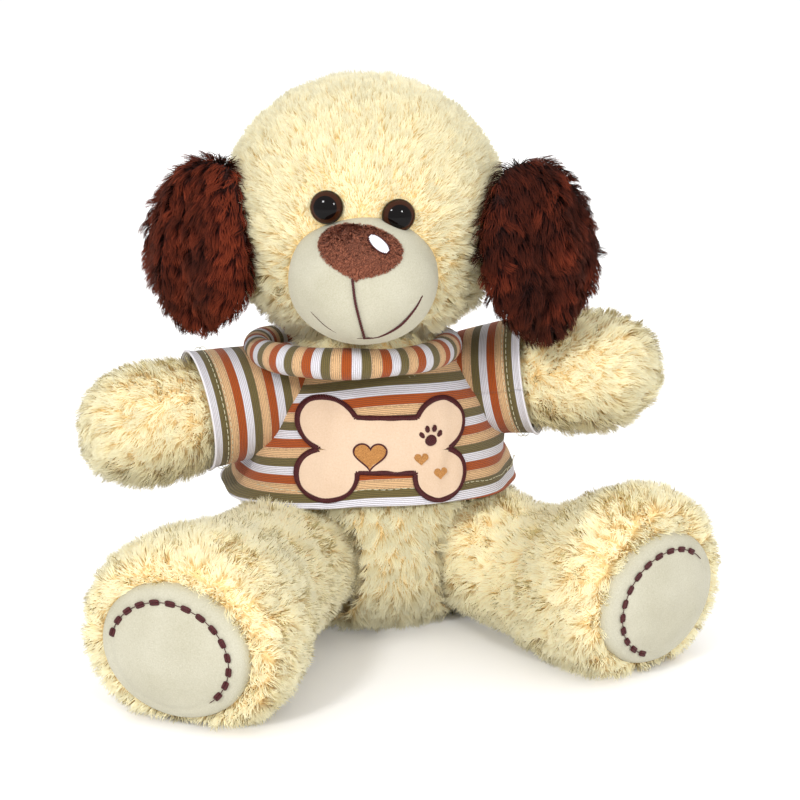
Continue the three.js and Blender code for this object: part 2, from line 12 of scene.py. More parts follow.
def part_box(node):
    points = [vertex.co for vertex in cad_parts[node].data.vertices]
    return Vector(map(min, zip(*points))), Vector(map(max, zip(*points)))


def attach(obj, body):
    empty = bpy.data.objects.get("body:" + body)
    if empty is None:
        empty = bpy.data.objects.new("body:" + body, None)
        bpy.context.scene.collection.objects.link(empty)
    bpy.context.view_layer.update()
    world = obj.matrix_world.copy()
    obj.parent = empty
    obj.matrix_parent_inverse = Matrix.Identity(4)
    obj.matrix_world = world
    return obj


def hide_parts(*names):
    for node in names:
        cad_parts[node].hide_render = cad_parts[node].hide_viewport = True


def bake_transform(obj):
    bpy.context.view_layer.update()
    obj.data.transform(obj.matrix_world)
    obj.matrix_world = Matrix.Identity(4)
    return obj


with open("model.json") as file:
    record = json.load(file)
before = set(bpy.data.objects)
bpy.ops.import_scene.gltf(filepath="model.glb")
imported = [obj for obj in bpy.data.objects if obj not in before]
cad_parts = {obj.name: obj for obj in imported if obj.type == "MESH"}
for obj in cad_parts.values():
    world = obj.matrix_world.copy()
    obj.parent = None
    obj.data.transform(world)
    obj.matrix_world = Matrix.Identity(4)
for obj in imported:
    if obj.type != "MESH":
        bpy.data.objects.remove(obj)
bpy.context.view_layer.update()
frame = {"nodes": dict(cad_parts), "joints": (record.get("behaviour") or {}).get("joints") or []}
joints = {joint["name"]: joint for joint in frame["joints"]}
nodes = frame["nodes"]
sides = {"left": 1, "right": -1}
mm = 0.001
upwards = np.array([0, 0, 1.0])
level = np.array([1, 1, 0])  # keeps a vector's level part


class Value:
    # a socket in a material, or a plain number, that can be reckoned with
    def __init__(self, finish, socket):
        self.finish = finish
        self.socket = socket

    def maths(self, operation, *others):
        return self.finish.maths(operation, self, *others)

    def __add__(self, other):
        return self.maths("ADD", other)

    __radd__ = __add__

    def __mul__(self, other):
        return self.maths("MULTIPLY", other)

    __rmul__ = __mul__

    def __sub__(self, other):
        return self.maths("SUBTRACT", other)

    def __rsub__(self, other):
        return self.finish.maths("SUBTRACT", other, self)

    def __truediv__(self, other):
        return self.maths("DIVIDE", other)

    def __rtruediv__(self, other):
        return self.finish.maths("DIVIDE", other, self)

    def __mod__(self, other):
        return self.maths("FLOORED_MODULO", other)

    def band(self, low, high, soft=0.02):
        # 1 between low and high, 0 elsewhere
        rise = self.finish.ramp(self, low - soft, low + soft)
        return rise * (1 - self.finish.ramp(self, high - soft, high + soft))


class Finish:
    # a material with one Principled shader, and short ways to add nodes to it
    def __init__(self, name, **fixed):
        self.material = bpy.data.materials.new(name)
        self.material.use_nodes = True
        self.tree = self.material.node_tree
        self.shader = self.tree.nodes["Principled BSDF"]
        for key, value in fixed.items():
            self.shader.inputs[key.replace("_", " ")].default_value = value

    def node(self, kind, settings=None, inputs=None, output=0):
        made = self.tree.nodes.new(kind)
        for key, value in (settings or {}).items():
            setattr(made, key, value)
        named = inputs.items() if isinstance(inputs, dict) else enumerate(inputs or [])
        for key, value in named:
            if isinstance(value, Value):
                self.tree.links.new(value.socket, made.inputs[key])
            elif value is not None:
                made.inputs[key].default_value = value
        return Value(self, made.outputs[output])

    def maths(self, operation, *values):
        return self.node("ShaderNodeMath", {"operation": operation}, list(values))

    def ramp(self, value, low, high, start=0.0, end=1.0):
        return self.node("ShaderNodeMapRange", {"clamp": True}, [value, low, high, start, end])

    def mix(self, factor, a, b, blend="MIX"):
        a, b = ((*c, 1.0) if isinstance(c, tuple) and len(c) == 3 else c for c in (a, b))
        return self.node("ShaderNodeMix", {"data_type": "RGBA", "blend_type": blend},
                         {0: factor, 6: a, 7: b}, 2)

    def uv(self, name, axis):
        spot = self.node("ShaderNodeUVMap", {"uv_map": name})
        return self.node("ShaderNodeSeparateXYZ", None, [spot], axis)

    def noise(self, scale, detail=2.0, rough=0.5):
        place = self.node("ShaderNodeTexCoord", None, None, 3)
        return self.node("ShaderNodeTexNoise", None,
                         {"Vector": place, "Scale": scale, "Detail": detail, "Roughness": rough})

    def colour(self, value):
        self.tree.links.new(value.socket, self.shader.inputs["Base Color"])
        return self

    def bump(self, height, distance=0.0005):
        made = self.node("ShaderNodeBump", None, {"Strength": 1.0, "Distance": distance, "Height": height})
        self.tree.links.new(made.socket, self.shader.inputs["Normal"])
        return self


def tint(*screen):
    # a screen colour as the light values that a shader wants
    return tuple(((c + 0.055) / 1.055) ** 2.4 if c > 0.04045 else c / 12.92 for c in screen)


furLooks = {
    "cream": {
        # the cream root colour is partly the pile's own and partly painted shade between the locks
        "root": tint(0.90, 0.74, 0.45), "middle": tint(0.99, 0.93, 0.73), "tip": tint(0.99, 0.97, 0.84),
        "sheen": (1.0, 0.95, 0.8), "fuzz": 0.2, "shade": (0.72, 1.06)},
    "brown": {
        "root": tint(0.10, 0.02, 0.01), "middle": tint(0.25, 0.07, 0.03), "tip": tint(0.47, 0.19, 0.10),
        "sheen": (0.8, 0.25, 0.12), "fuzz": 0.06, "shade": (0.32, 1.4)},
    "nose": {
        "root": tint(0.35, 0.17, 0.12), "middle": tint(0.53, 0.29, 0.21), "tip": tint(0.72, 0.46, 0.36),
        "sheen": (0.8, 0.5, 0.4), "fuzz": 0.2, "shade": (0.85, 1.05)},
}


def furFinish(name):
    # the colour runs from a pile's root to its tip, and its shade shifts from lock to lock; the cream pile casts
    # no shadows, so its darker root colour is partly painted shade deep in the pile
    look = furLooks[name]
    finish = Finish(f"{name}_fur", Roughness=0.8, Sheen_Weight=look["fuzz"], Sheen_Roughness=0.5,
                    Sheen_Tint=(*look["sheen"], 1), IOR=1.25)
    toneAndShading, along = finish.uv("OFBake", 0), finish.uv("OFBake", 1)
    lower = finish.mix(finish.ramp(along, 0.0, 0.45), look["root"], look["middle"])
    whole = finish.mix(finish.ramp(along, 0.4, 1.0), lower, look["tip"])
    shade = finish.ramp(toneAndShading, 0.0, 1.0, *look["shade"])
    shades = finish.node("ShaderNodeCombineColor", None, [shade, shade, shade * 0.985])
    return finish.colour(finish.mix(1.0, whole, shades, "MULTIPLY"))


def skinFinish(name):
    # the woven ground that the pile stands on; under the cream pile its root colour is partly painted shade
    look = furLooks[name]
    finish = Finish(f"{name}_ground", Roughness=0.95)
    patchy = finish.noise(420, 3)
    finish.colour(finish.mix(patchy, look["root"], look["middle"]))
    return finish.bump(patchy, 0.001)


def velourFinish(name, base, dark, scale=1500, depth=0.00025):
    # short dense pile
    finish = Finish(name, Roughness=0.9, Sheen_Weight=0.15, Sheen_Roughness=0.4, IOR=1.25)
    fine = finish.noise(scale, 3, 0.6)
    broad = finish.noise(38, 2)
    mixed = finish.ramp(fine * 0.6 + broad * 0.4, 0.3, 0.7)
    finish.colour(finish.mix(mixed, dark, base))
    return finish.bump(fine + broad * 0.4, depth)


def threadFinish(name, base, dark):
    finish = Finish(name, Roughness=0.5, Sheen_Weight=0.0, IOR=1.35)
    fine = finish.noise(2600, 2)
    finish.colour(finish.mix(finish.ramp(fine, 0.3, 0.7), dark, base))
    return finish.bump(fine, 0.00012)


knitLook = {
    "olive": tint(0.43, 0.38, 0.23), "white": tint(0.88, 0.87, 0.90), "rust": tint(0.66, 0.31, 0.11),
    "tan": tint(0.87, 0.71, 0.53), "pinstripe": tint(0.40, 0.29, 0.19),
    "order": (("white", 0.24), ("olive", 0.24), ("tan", 0.27), ("rust", 0.25)),  # from the hem up
    "pinstripes": (0.06, 0.20, 0.80, 0.94),  # across each tan stripe
    "repeat": 17.6, "row": 0.84, "loop": 0.9,
    # the first colour and its share paint shade into the grooves between rows; the dulling is random
    "shadedGroove": (0.36, 0.32, 0.29), "grooveShadeShare": 0.8, "dull": (0.72, 0.70, 0.68), "dullShare": 0.22,
}


def knitFinish(name):
    # stripes and rows run along the cloth map's u, and are counted along its v, in millimetres
    look = knitLook
    finish = Finish(name, Roughness=0.9, Sheen_Weight=0.15, Sheen_Roughness=0.5, IOR=1.25)
    across, along = finish.uv("cloth", 0), finish.uv("cloth", 1)
    wobble = finish.noise(60, 1) * 0.6 - 0.3
    phase = ((along + wobble) / look["repeat"]) % 1.0
    colour, start, tan = look[look["order"][0][0]], look["order"][0][1], 0
    for stripe, share in look["order"][1:]:
        tan = (start, share) if stripe == "tan" else tan
        colour = finish.mix(phase.band(start, min(start + share, 1.01), 0.006), colour, look[stripe])
        start += share
    for edge in look["pinstripes"]:
        at = tan[0] + tan[1] * edge
        line = phase.band(at - 0.006, at + 0.006, 0.004)
        broken = finish.ramp(finish.noise(1100, 1), 0.42, 0.6)
        colour = finish.mix(line * broken * 0.7, colour, look["pinstripe"])
    row = ((along / look["row"]) % 1.0 - 0.5).maths("ABSOLUTE") * 2
    loop = ((across / look["loop"] + row * 0.35) % 1.0 - 0.5).maths("ABSOLUTE") * 2
    fuzz = finish.noise(1700, 3, 0.65)
    # painted shade: the grooves between knit rows are darkened in colour, on top of their bump
    shadedGroove = finish.ramp(row, 0.5, 1.0)
    colour = finish.mix(shadedGroove * look["grooveShadeShare"], colour, finish.mix(1.0, colour, look["shadedGroove"], "MULTIPLY"))
    dull = finish.mix(1.0, colour, look["dull"], "MULTIPLY")
    finish.colour(finish.mix(finish.ramp(fuzz, 0.35, 0.7) * look["dullShare"], colour, dull))
    return finish.bump((1 - shadedGroove) * 0.7 + loop * 0.25 + fuzz * 0.35, 0.0004)


def plainFinish(name, base, roughness=0.6):
    finish = Finish(name, Roughness=roughness, Metallic=0.0)
    fine = finish.noise(900, 2)
    return finish.colour(finish.mix(fine * 0.25, base, tuple(c * 0.6 for c in base)))


finishes = {
    "cream": furFinish("cream"),
    "brown": furFinish("brown"),
    "creamGround": skinFinish("cream"),
    "brownGround": skinFinish("brown"),
    "ivory": velourFinish("ivory_velour", tint(0.76, 0.745, 0.675), tint(0.67, 0.65, 0.565)),
    "nose": velourFinish("nose_plush", tint(0.56, 0.36, 0.29), tint(0.30, 0.15, 0.11), 1900, 0.0004),
    "patch": velourFinish("patch_fabric", tint(0.84, 0.745, 0.65), tint(0.79, 0.68, 0.575), 1300, 0.00015),
    "maroon": threadFinish("maroon_thread", tint(0.34, 0.11, 0.12), tint(0.16, 0.04, 0.05)),
    "tanThread": threadFinish("tan_thread", tint(0.80, 0.58, 0.33), tint(0.58, 0.38, 0.18)),
    "whiteThread": threadFinish("white_thread", tint(0.97, 0.97, 0.98), tint(0.80, 0.80, 0.84)),
    "paleThread": threadFinish("pale_thread", tint(0.86, 0.84, 0.72), tint(0.66, 0.63, 0.50)),
    "knit": knitFinish("striped_knit"),
    "nosePile": furFinish("nose"),
    "filling": plainFinish("stuffing", (0.85, 0.85, 0.84), 0.95),
    "nylon": plainFinish("nylon", (0.75, 0.75, 0.72), 0.4),
    "black": plainFinish("eye_black", (0.006, 0.005, 0.005), 0.2),
}
slots = {
    "cream": "cream_fur", "brown": "brown_fur", "nosePile": "nose_plush", "maroon": "maroon_thread",
    "tanThread": "tan_thread", "whiteThread": "white_thread", "paleThread": "white_thread",
}
print("finishes made")


def unit(vectors):
    return vectors / np.maximum(np.linalg.norm(vectors, axis=-1, keepdims=True), 1e-9)


def cornersOf(name):
    # the points of a CAD node
    return np.array([v.co[:] for v in nodes[name].data.vertices])


def boxOf(name):
    low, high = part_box(name)
    return np.array(low), np.array(high)


def pivotOf(joint):
    return np.array(joints[joint]["pos_m"], float)


def meshOf(name, points, faces, finish, uvs=None):
    # faces are rows of equal length; uvs maps a layer's name to one pair for each point
    points, faces = np.asarray(points, np.float32), np.asarray(faces, np.int32)
    mesh = bpy.data.meshes.new(name)
    mesh.vertices.add(len(points))
    mesh.vertices.foreach_set("co", points.ravel())
    mesh.loops.add(faces.size)
    mesh.loops.foreach_set("vertex_index", faces.ravel())
    mesh.polygons.add(len(faces))
    mesh.polygons.foreach_set("loop_start", np.arange(0, faces.size, faces.shape[1], dtype=np.int32))
    mesh.polygons.foreach_set("use_smooth", np.full(len(faces), True))
    mesh.update(calc_edges=True)
    for layer, pairs in (uvs or {}).items():
        made = mesh.uv_layers.new(name=layer)
        made.data.foreach_set("uv", np.asarray(pairs, np.float32)[faces.ravel()].ravel())
    obj = bpy.data.objects.new(name, mesh)
    bpy.context.scene.collection.objects.link(obj)
    obj.data.materials.append(finish.material)
    return obj


def placed(obj, body, slot, *replaced):
    # a piece that rides on a body, in place of CAD nodes
    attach(obj, body)
    if replaced:
        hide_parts(*replaced)
    return obj


def threadPiece(name, shapes, body, finish, *replaced):
    # embroidery or stitches, from several lots of points and faces
    return placed(meshOf(name, *joined(shapes), finishes[finish]), body, slots[finish], *replaced)


def gridFaces(rows, columns, closedColumns=False):
    # the quads of a grid of points in rows
    r = np.arange(rows - 1)
    c = np.arange(columns if closedColumns else columns - 1)
    r, c = (x.ravel() for x in np.meshgrid(r, c, indexing="ij"))
    r2, c2 = (r + 1) % rows, (c + 1) % columns
    return np.stack([r * columns + c, r * columns + c2, r2 * columns + c2, r2 * columns + c], axis=1)


def gridOf(first, second):
    # every pair of two lists' values, as two long lists
    return (g.ravel() for g in np.meshgrid(first, second, indexing="ij"))


def evaluated(obj):
    # the points and triangles of an object as its modifiers leave it
    mesh = obj.evaluated_get(bpy.context.evaluated_depsgraph_get()).to_mesh()
    mesh.calc_loop_triangles()
    points = np.zeros(len(mesh.vertices) * 3, np.float32)
    mesh.vertices.foreach_get("co", points)
    triangles = np.zeros(len(mesh.loop_triangles) * 3, np.int32)
    mesh.loop_triangles.foreach_get("vertices", triangles)
    return points.reshape(-1, 3).astype(float), triangles.reshape(-1, 3)


def pointNormals(points, triangles):
    a, b, c = (points[triangles[:, i]] for i in range(3))
    faceNormals = np.cross(b - a, c - a)
    normals = np.zeros_like(points)
    for i in range(3):
        np.add.at(normals, triangles[:, i], faceNormals)
    return unit(normals)


def smoothed(points, triangles, rounds, share=0.6):
    # each point moves towards the mean of its neighbours, round after round
    pairs = np.concatenate([triangles[:, [0, 1]], triangles[:, [1, 2]], triangles[:, [2, 0]]])
    edges = np.unique(np.sort(pairs, axis=1), axis=0)
    count = np.bincount(edges.ravel(), minlength=len(points))[:, None]
    for _ in range(rounds):
        total = np.zeros_like(points)
        np.add.at(total, edges[:, 0], points[edges[:, 1]])
        np.add.at(total, edges[:, 1], points[edges[:, 0]])
        points = points + (total / np.maximum(count, 1) - points) * share
    return points


def remeshed(*names, cell=2.6 * mm, rounds=14):
    # the outer shape of CAD nodes together, as one rounded mesh
    rough = meshOf("rough", *joined(evaluated(nodes[name]) for name in names), finishes["filling"])
    change = rough.modifiers.new("cells", "REMESH")
    change.mode, change.voxel_size = "VOXEL", cell
    bpy.context.view_layer.update()
    found, triangles = evaluated(rough)
    bpy.data.objects.remove(rough)
    return smoothed(found, triangles, rounds), triangles


def joined(shapes):
    # several lots of points and faces as one
    points, faces, start = [], [], 0
    for p, f in shapes:
        points.append(p)
        faces.append(f + start)
        start += len(p)
    return np.concatenate(points), np.concatenate(faces)


def treeOf(points, triangles):
    return BVHTree.FromPolygons([Vector(p) for p in points], triangles.tolist())


def depthIn(tree, points):
    # how deep each point lies in a closed mesh; a point outside it has a negative depth
    depths = np.empty(len(points))
    for i, p in enumerate(points):
        near, normal, _, distance = tree.find_nearest(Vector(p))
        depths[i] = distance if (Vector(p) - near).dot(normal) < 0 else -distance
    return depths


def wave(points, size, seed, count=5):
    # a smooth random value at each point, from sums of slanted waves about size long
    draw = np.random.default_rng(seed)
    total = np.zeros(len(points))
    for _ in range(count):
        direction = unit(draw.normal(size=3)) * draw.uniform(0.7, 1.4) * 2 * math.pi / size
        total += np.sin(points @ direction + draw.uniform(0, 6.28))
    return total / count ** 0.5


def runOf(line):
    # how far along a line each of its points is
    return np.concatenate([[0], np.cumsum(np.linalg.norm(np.diff(line, axis=0), axis=1))])


def between(line, at, marks=None):
    # the points of a line at places that may lie between its own
    marks = np.arange(len(line)) if marks is None else marks
    return np.stack([np.interp(at, marks, line[:, k]) for k in range(line.shape[1])], axis=1)


def turned(x, z, turn):
    return x * math.cos(turn) - z * math.sin(turn), x * math.sin(turn) + z * math.cos(turn)


def curveThrough(knots, count):
    # a smooth line through the knots, evenly stepped
    knots = np.array(knots, float)
    padded = np.concatenate([[2 * knots[0] - knots[1]], knots, [2 * knots[-1] - knots[-2]]])
    line = []
    for i in range(1, len(padded) - 2):
        for t in np.linspace(0, 1, 40, endpoint=False):
            p0, p1, p2, p3 = padded[i - 1:i + 3]
            line.append(0.5 * (2 * p1 + (p2 - p0) * t + (2 * p0 - 5 * p1 + 4 * p2 - p3) * t * t
                               + (3 * p1 - p0 - 3 * p2 + p3) * t ** 3))
    line = np.array(line + [knots[-1]])
    run = runOf(line)
    return between(line, np.linspace(0, run[-1], count), run)


def tubeAlong(line, radius, up, sidesCount=8, flat=0.7):
    # an open tube along a line; radius may differ from point to point, and up flattens it
    line = np.asarray(line)
    ahead = unit(np.gradient(line, axis=0))
    across = unit(np.cross(ahead, up))
    rise = unit(np.cross(across, ahead))
    radius = np.broadcast_to(np.asarray(radius, float), (len(line),)).copy()
    angle = np.linspace(0, 2 * math.pi, sidesCount, endpoint=False)
    round_ = (np.cos(angle)[None, :, None] * across[:, None]
              + flat * np.sin(angle)[None, :, None] * rise[:, None])
    points = line[:, None] + round_ * radius[:, None, None]
    return points.reshape(-1, 3), gridFaces(len(line), sidesCount, closedColumns=True)


def dashes(line, up, stitch, gap, radius):
    # short round stitches along a line; the stitch and the gap are in millimetres
    count = max(int(runOf(line)[-1] / mm / (stitch + gap)), 1)
    shapes, last = [], len(line) - 1
    for i in range(count):
        first = i * last / count
        at = np.linspace(first, first + last / count * stitch / (stitch + gap), 6)
        lift = between(up, at)
        rise = np.array([-0.6, 0.5, 1, 1, 0.5, -0.6])[:, None] * radius
        widths = radius * np.array([0.5, 1, 1, 1, 1, 0.5])
        shapes.append(tubeAlong(between(line, at) + lift * rise, widths, lift, 6, 1.0))
    return shapes


furShape = {
    "width": 0.42 * mm,  # of a strand at its root
    "widths": (1.0, 0.9, 0.6),  # shares of it at the first steps
    "steps": (0.0, 0.42, 0.78, 1.0),
    "twist": 0.9,
    "lengths": (0.82, 1.06), "lockLengths": 0.18,
    "loft": 0.42,  # how far a strand rises before it bows
    "mostStrands": 38000,  # in one piece
    "quickShare": 0.35,
    "floor": 0.6 * mm,
}


def strewn(points, triangles, normals, density, draw):
    # random spots on a surface, with the surface's normals there
    a, b, c = (points[triangles[:, i]] for i in range(3))
    areas = np.linalg.norm(np.cross(b - a, c - a), axis=1) / 2
    count = int(areas.sum() * density)
    pick = draw.choice(len(triangles), count, p=areas / areas.sum())
    u, v = draw.random((2, count, 1))
    over = u + v > 1
    u, v = np.where(over, 1 - u, u), np.where(over, 1 - v, v)
    w = 1 - u - v
    na, nb, nc = (normals[triangles[pick, i]] for i in range(3))
    return w * a[pick] + u * b[pick] + v * c[pick], unit(w * na + u * nb + v * nc)


def furOn(name, body, surface, colour, combing, wanted, look, seed, wild=None):
    # strands in locks, rooted on a surface, for the spots that wanted keeps
    draw = np.random.default_rng(seed)
    points, triangles = surface
    density = look["density"] * 1.0
    roots, up = strewn(points, triangles, pointNormals(points, triangles), density / mm ** 2, draw)
    keep = wanted(roots, up)
    roots, up, reach = roots[keep > 0], up[keep > 0], keep[keep > 0]
    # each strand belongs to the lock whose head is nearest
    lockCount = max(int(len(roots) / (density / mm ** 2 * look["locks"] ** 2)), 1)
    heads = draw.choice(len(roots), min(lockCount, len(roots)), replace=False)
    tree = KDTree(len(heads))
    for i, h in enumerate(heads):
        tree.insert(Vector(roots[h]), i)
    tree.balance()
    lock = np.array([tree.find(Vector(p))[1] for p in roots])
    fray = (wild(roots) if wild else np.ones(len(roots)))[:, None]
    # which way the pile is combed, and drifts
    comb = combing(roots, up)
    comb = unit(comb - (comb * up).sum(1, keepdims=True) * up)
    drift = wave(roots, 26 * mm, seed + 1)[:, None] * look.get("drift", 0.45)
    comb = unit(comb + np.cross(up, comb) * drift)
    lay = look["lay"]
    lockTurn = draw.normal(0, look["unruly"], (len(heads), 3)) * fray[heads]
    spread = furShape["lockLengths"]
    lockLength = 1 + draw.uniform(-spread, spread, (len(heads), 1)) * fray[heads]
    lockTone = draw.random(len(heads))
    direction = unit(up * (1 - lay) + comb * lay + lockTurn[lock] * 0.55)
    ownLength = draw.uniform(*furShape["lengths"], (len(roots), 1))
    length = look["length"] * reach[:, None] * lockLength[lock] * ownLength
    stray = draw.normal(0, look.get("stray", 0.16), roots.shape)
    # a strand's tip lies between its own and its lock's
    ownTip = roots + unit(direction + stray) * length
    headTip = roots[heads] + direction[heads] * look["length"] * lockLength * reach[heads][:, None]
    away = roots - roots[heads][lock]
    drawn = headTip[lock] + away * 0.25 + stray * look["length"] * 0.25
    gather = look["gather"] * draw.uniform(0.55, 1.0, (len(roots), 1)) * (0.4 + 0.6 * fray)
    gather = np.clip(gather, 0, 0.85)
    tips = ownTip * (1 - gather) + drawn * gather
    bow = roots + up * length * furShape["loft"] + (tips - roots) * 0.22
    tips[:, 2] = np.maximum(tips[:, 2], furShape["floor"])
    bow[:, 2] = np.maximum(bow[:, 2], furShape["floor"])
    # every strand is a narrow blade of five triangles
    rows = []
    twist = draw.uniform(-furShape["twist"], furShape["twist"], (len(roots), 1))
    for step, t in enumerate(furShape["steps"]):
        centre = roots * (1 - t) ** 2 + bow * 2 * t * (1 - t) + tips * t ** 2
        if step == len(furShape["widths"]):
            rows.append(centre)
            break
        along = unit((bow - roots) * (1 - t) + (tips - bow) * t)
        flat = unit(np.cross(along, up) + up * 0.001)
        flat = unit(flat + np.cross(along, flat) * twist)
        half = flat * furShape["width"] * look.get("thick", 1.0) * furShape["widths"][step] / 2
        rows += [centre - half, centre + half]
    strands = np.stack(rows, axis=1)
    pattern = np.array([[0, 1, 2], [1, 3, 2], [2, 3, 4], [3, 5, 4], [4, 5, 6]])
    # the broad wave shifts the tone at random in patches; each piece's own offset is painted shading, darker on
    # the head, trunk, arms and one ear, lighter on the legs
    broad = wave(roots, 24 * mm, seed + 2) * look.get("patchy", 0.0) + look.get("toneAndShading", 0.0)
    toneAndShading = np.clip(0.15 + 0.5 * lockTone[lock] + 0.35 * draw.random(len(roots)) + broad, 0.02, 0.98)
    edges = np.array([-0.01, 0.01, -0.01, 0.01, -0.01, 0.01, 0.0])
    along = np.array(furShape["steps"])[[0, 0, 1, 1, 2, 2, 3]]
    soft = unit(up[:, None, :] * 0.8 + unit(direction)[:, None, :] * 0.5 * along[None, :, None])
    order = np.argsort(roots @ np.array([0.3, 1.0, 0.2]))
    parts = max(math.ceil(len(roots) / furShape["mostStrands"]), 1)
    for part, chosen in enumerate(np.array_split(order, parts), 1):
        count = len(chosen)
        faces = (pattern[None] + (np.arange(count) * 7)[:, None, None]).reshape(-1, 3)
        pairs = np.stack([np.repeat(toneAndShading[chosen], 7) + np.tile(edges, count), np.tile(along, count)], axis=1)
        obj = meshOf(f"{name}_{part}" if parts > 1 else name, strands[chosen].reshape(-1, 3), faces,
                     finishes[colour], {"OFBake": pairs})
        obj.data.normals_split_custom_set_from_vertices(soft[chosen].reshape(-1, 3).tolist())
        obj.visible_shadow = colour != "cream"  # light reaches deep into pale pile
        placed(obj, body, slots[colour])
    print(f"{name}: {len(roots)} strands in {parts} pieces")


def skinOn(name, body, replaced, colour, surface):
    # the stuffed ground under the pile
    obj = meshOf(name, *surface, finishes[f"{colour}Ground"])
    placed(obj, body, slots[colour], *replaced)


def sunk(surface, depth):
    # a surface drawn in along its own normals
    points, triangles = surface
    return points - pointNormals(points, triangles) * depth, triangles


# ---------- head ----------

headLook = {
    "inset": 4.4 * mm, "fill": 0.9, "wide": 1.02, "tall": 0.96, "jaw": 0.16,
    "muzzleGap": 2.0 * mm, "earDepth": 4 * mm, "neckGap": 20 * mm,
    "fur": {
        "density": 1.7, "length": 8.0 * mm, "lay": 0.5, "unruly": 0.36, "locks": 3.6 * mm,
        # the offset at the end of the next line darkens the head's whole pile as painted shade
        "gather": 0.5, "drift": 0.35, "stray": 0.2, "toneAndShading": -0.22},
}
muzzleLook = {
    "depth": 36 * mm, "fill": 0.85, "crease": 1.5 * mm, "creaseWidth": 2.6 * mm,
    "grow": (2.6 * mm, 1.0 * mm, -0.2 * mm), "shift": (0.8 * mm, 0, 1.4 * mm),
}
eyeLook = {
    "radius": 8.1 * mm, "height": 5.4 * mm, "drop": 1.4 * mm, "set": 3.4 * mm,
    "iris": tint(0.21, 0.105, 0.05), "pupilShare": 0.70,
}

headLow, headHigh = boxOf("head_cover")
headMiddle = (headLow + headHigh) / 2
headMiddle[2] = headHigh[2] - (headHigh[0] - headLow[0]) / 2
muzzleLow, muzzleHigh = boxOf("muzzle_cover")
muzzleMiddle = (muzzleLow + muzzleHigh) / 2
muzzleMiddle[1] = muzzleLow[1] + muzzleLook["depth"]
muzzleHalf = np.array([muzzleHigh[0] - muzzleMiddle[0], muzzleLook["depth"],
                       muzzleHigh[2] - muzzleMiddle[2]])
muzzleMiddle = muzzleMiddle + np.array(muzzleLook["shift"])
muzzleHalf = muzzleHalf + np.array(muzzleLook["grow"])
eyeMiddles = {side: sum(boxOf(f"eye_{side}_lens")) / 2 for side in sides}


def onMuzzle(x, z, lift=0.0):
    # points on the front of the muzzle, seen from the front at x and z
    a, b, c = muzzleHalf
    u, w = (x - muzzleMiddle[0]) / a, (z - muzzleMiddle[2]) / c
    reach = np.sqrt(np.maximum(1 - u * u - w * w, 0.0))
    normal = unit(np.stack([u / a, -reach / b, w / c], axis=-1))
    spot = np.stack([x, muzzleMiddle[1] - b * reach, z], axis=-1)
    return spot + normal * np.asarray(lift)[..., None], normal


def makeHead():
    points, triangles = sunk(remeshed("head_cover", "head_stuffing"), headLook["inset"])
    below = np.clip((headMiddle[2] - points[:, 2]) / (headMiddle[2] - headLow[2]), 0, 1)
    wide = headLook["wide"] + headLook["jaw"] * below ** 2
    points[:, 0] = headMiddle[0] + (points[:, 0] - headMiddle[0]) * wide
    high = points[:, 2] > headMiddle[2]
    points[high, 2] = headMiddle[2] + (points[high, 2] - headMiddle[2]) * headLook["tall"]
    surface = points, triangles
    skinOn("head", "head", ["head_cover", "head_stuffing"], "cream", surface)
    ears = [treeOf(*remeshed(f"ear_{side}_cover", f"ear_{side}_wadding", rounds=6))
            for side in sides]

    def wanted(roots, up):
        # none under the muzzle, eyes and ears, and shorter beside them
        q = (roots - muzzleMiddle) / (muzzleHalf + headLook["muzzleGap"])
        q[:, 1] = np.where(roots[:, 1] < headMiddle[1], q[:, 1] * 0.35, 9)
        onto = np.linalg.norm(q, axis=1)
        keep = np.where(onto < 0.93, 0.0, np.clip(0.62 + (onto - 0.95) * 1.2, 0.62, 1.0))
        keep *= 1.05 - 0.3 * np.clip(up[:, 2], 0, 1)
        for middle in eyeMiddles.values():
            away = np.linalg.norm(roots - middle, axis=1)
            near = keep * np.clip(away / (22 * mm), 0.5, 1.0)
            keep = np.where(away < eyeLook["radius"] * 1.02, 0.0, near)
        for tree in ears:
            keep = np.where(depthIn(tree, roots) > headLook["earDepth"], 0.0, keep)
        fromNeck = np.linalg.norm(roots - pivotOf("head_nod"), axis=1)
        return np.where(fromNeck < headLook["neckGap"], 0.0, keep)

    def combing(roots, up):
        away = roots - (muzzleMiddle + np.array([0, 0, 6 * mm]))
        fall = np.clip((headMiddle[2] - 25 * mm - roots[:, 2]) / (40 * mm), 0, 1)[:, None]
        face = unit(away) + np.array([0, 0, -0.6]) * fall
        # over the crown and down the back of the head
        back = np.stack([np.zeros(len(up)), up[:, 2], -up[:, 1] - 0.3], axis=1)
        behind = np.clip((roots[:, 1] - headMiddle[1]) / (24 * mm) + 0.2, 0, 1)[:, None]
        return face * (1 - behind) + back * behind

    def wild(roots):
        # the crown lies smooth, the cheeks and the jaw are shaggier
        return 0.5 + 0.75 * np.clip((headMiddle[2] + 12 * mm - roots[:, 2]) / (45 * mm), 0, 1)

    furOn("head_pile", "head", surface, "cream", combing, wanted, headLook["fur"], 11, wild)


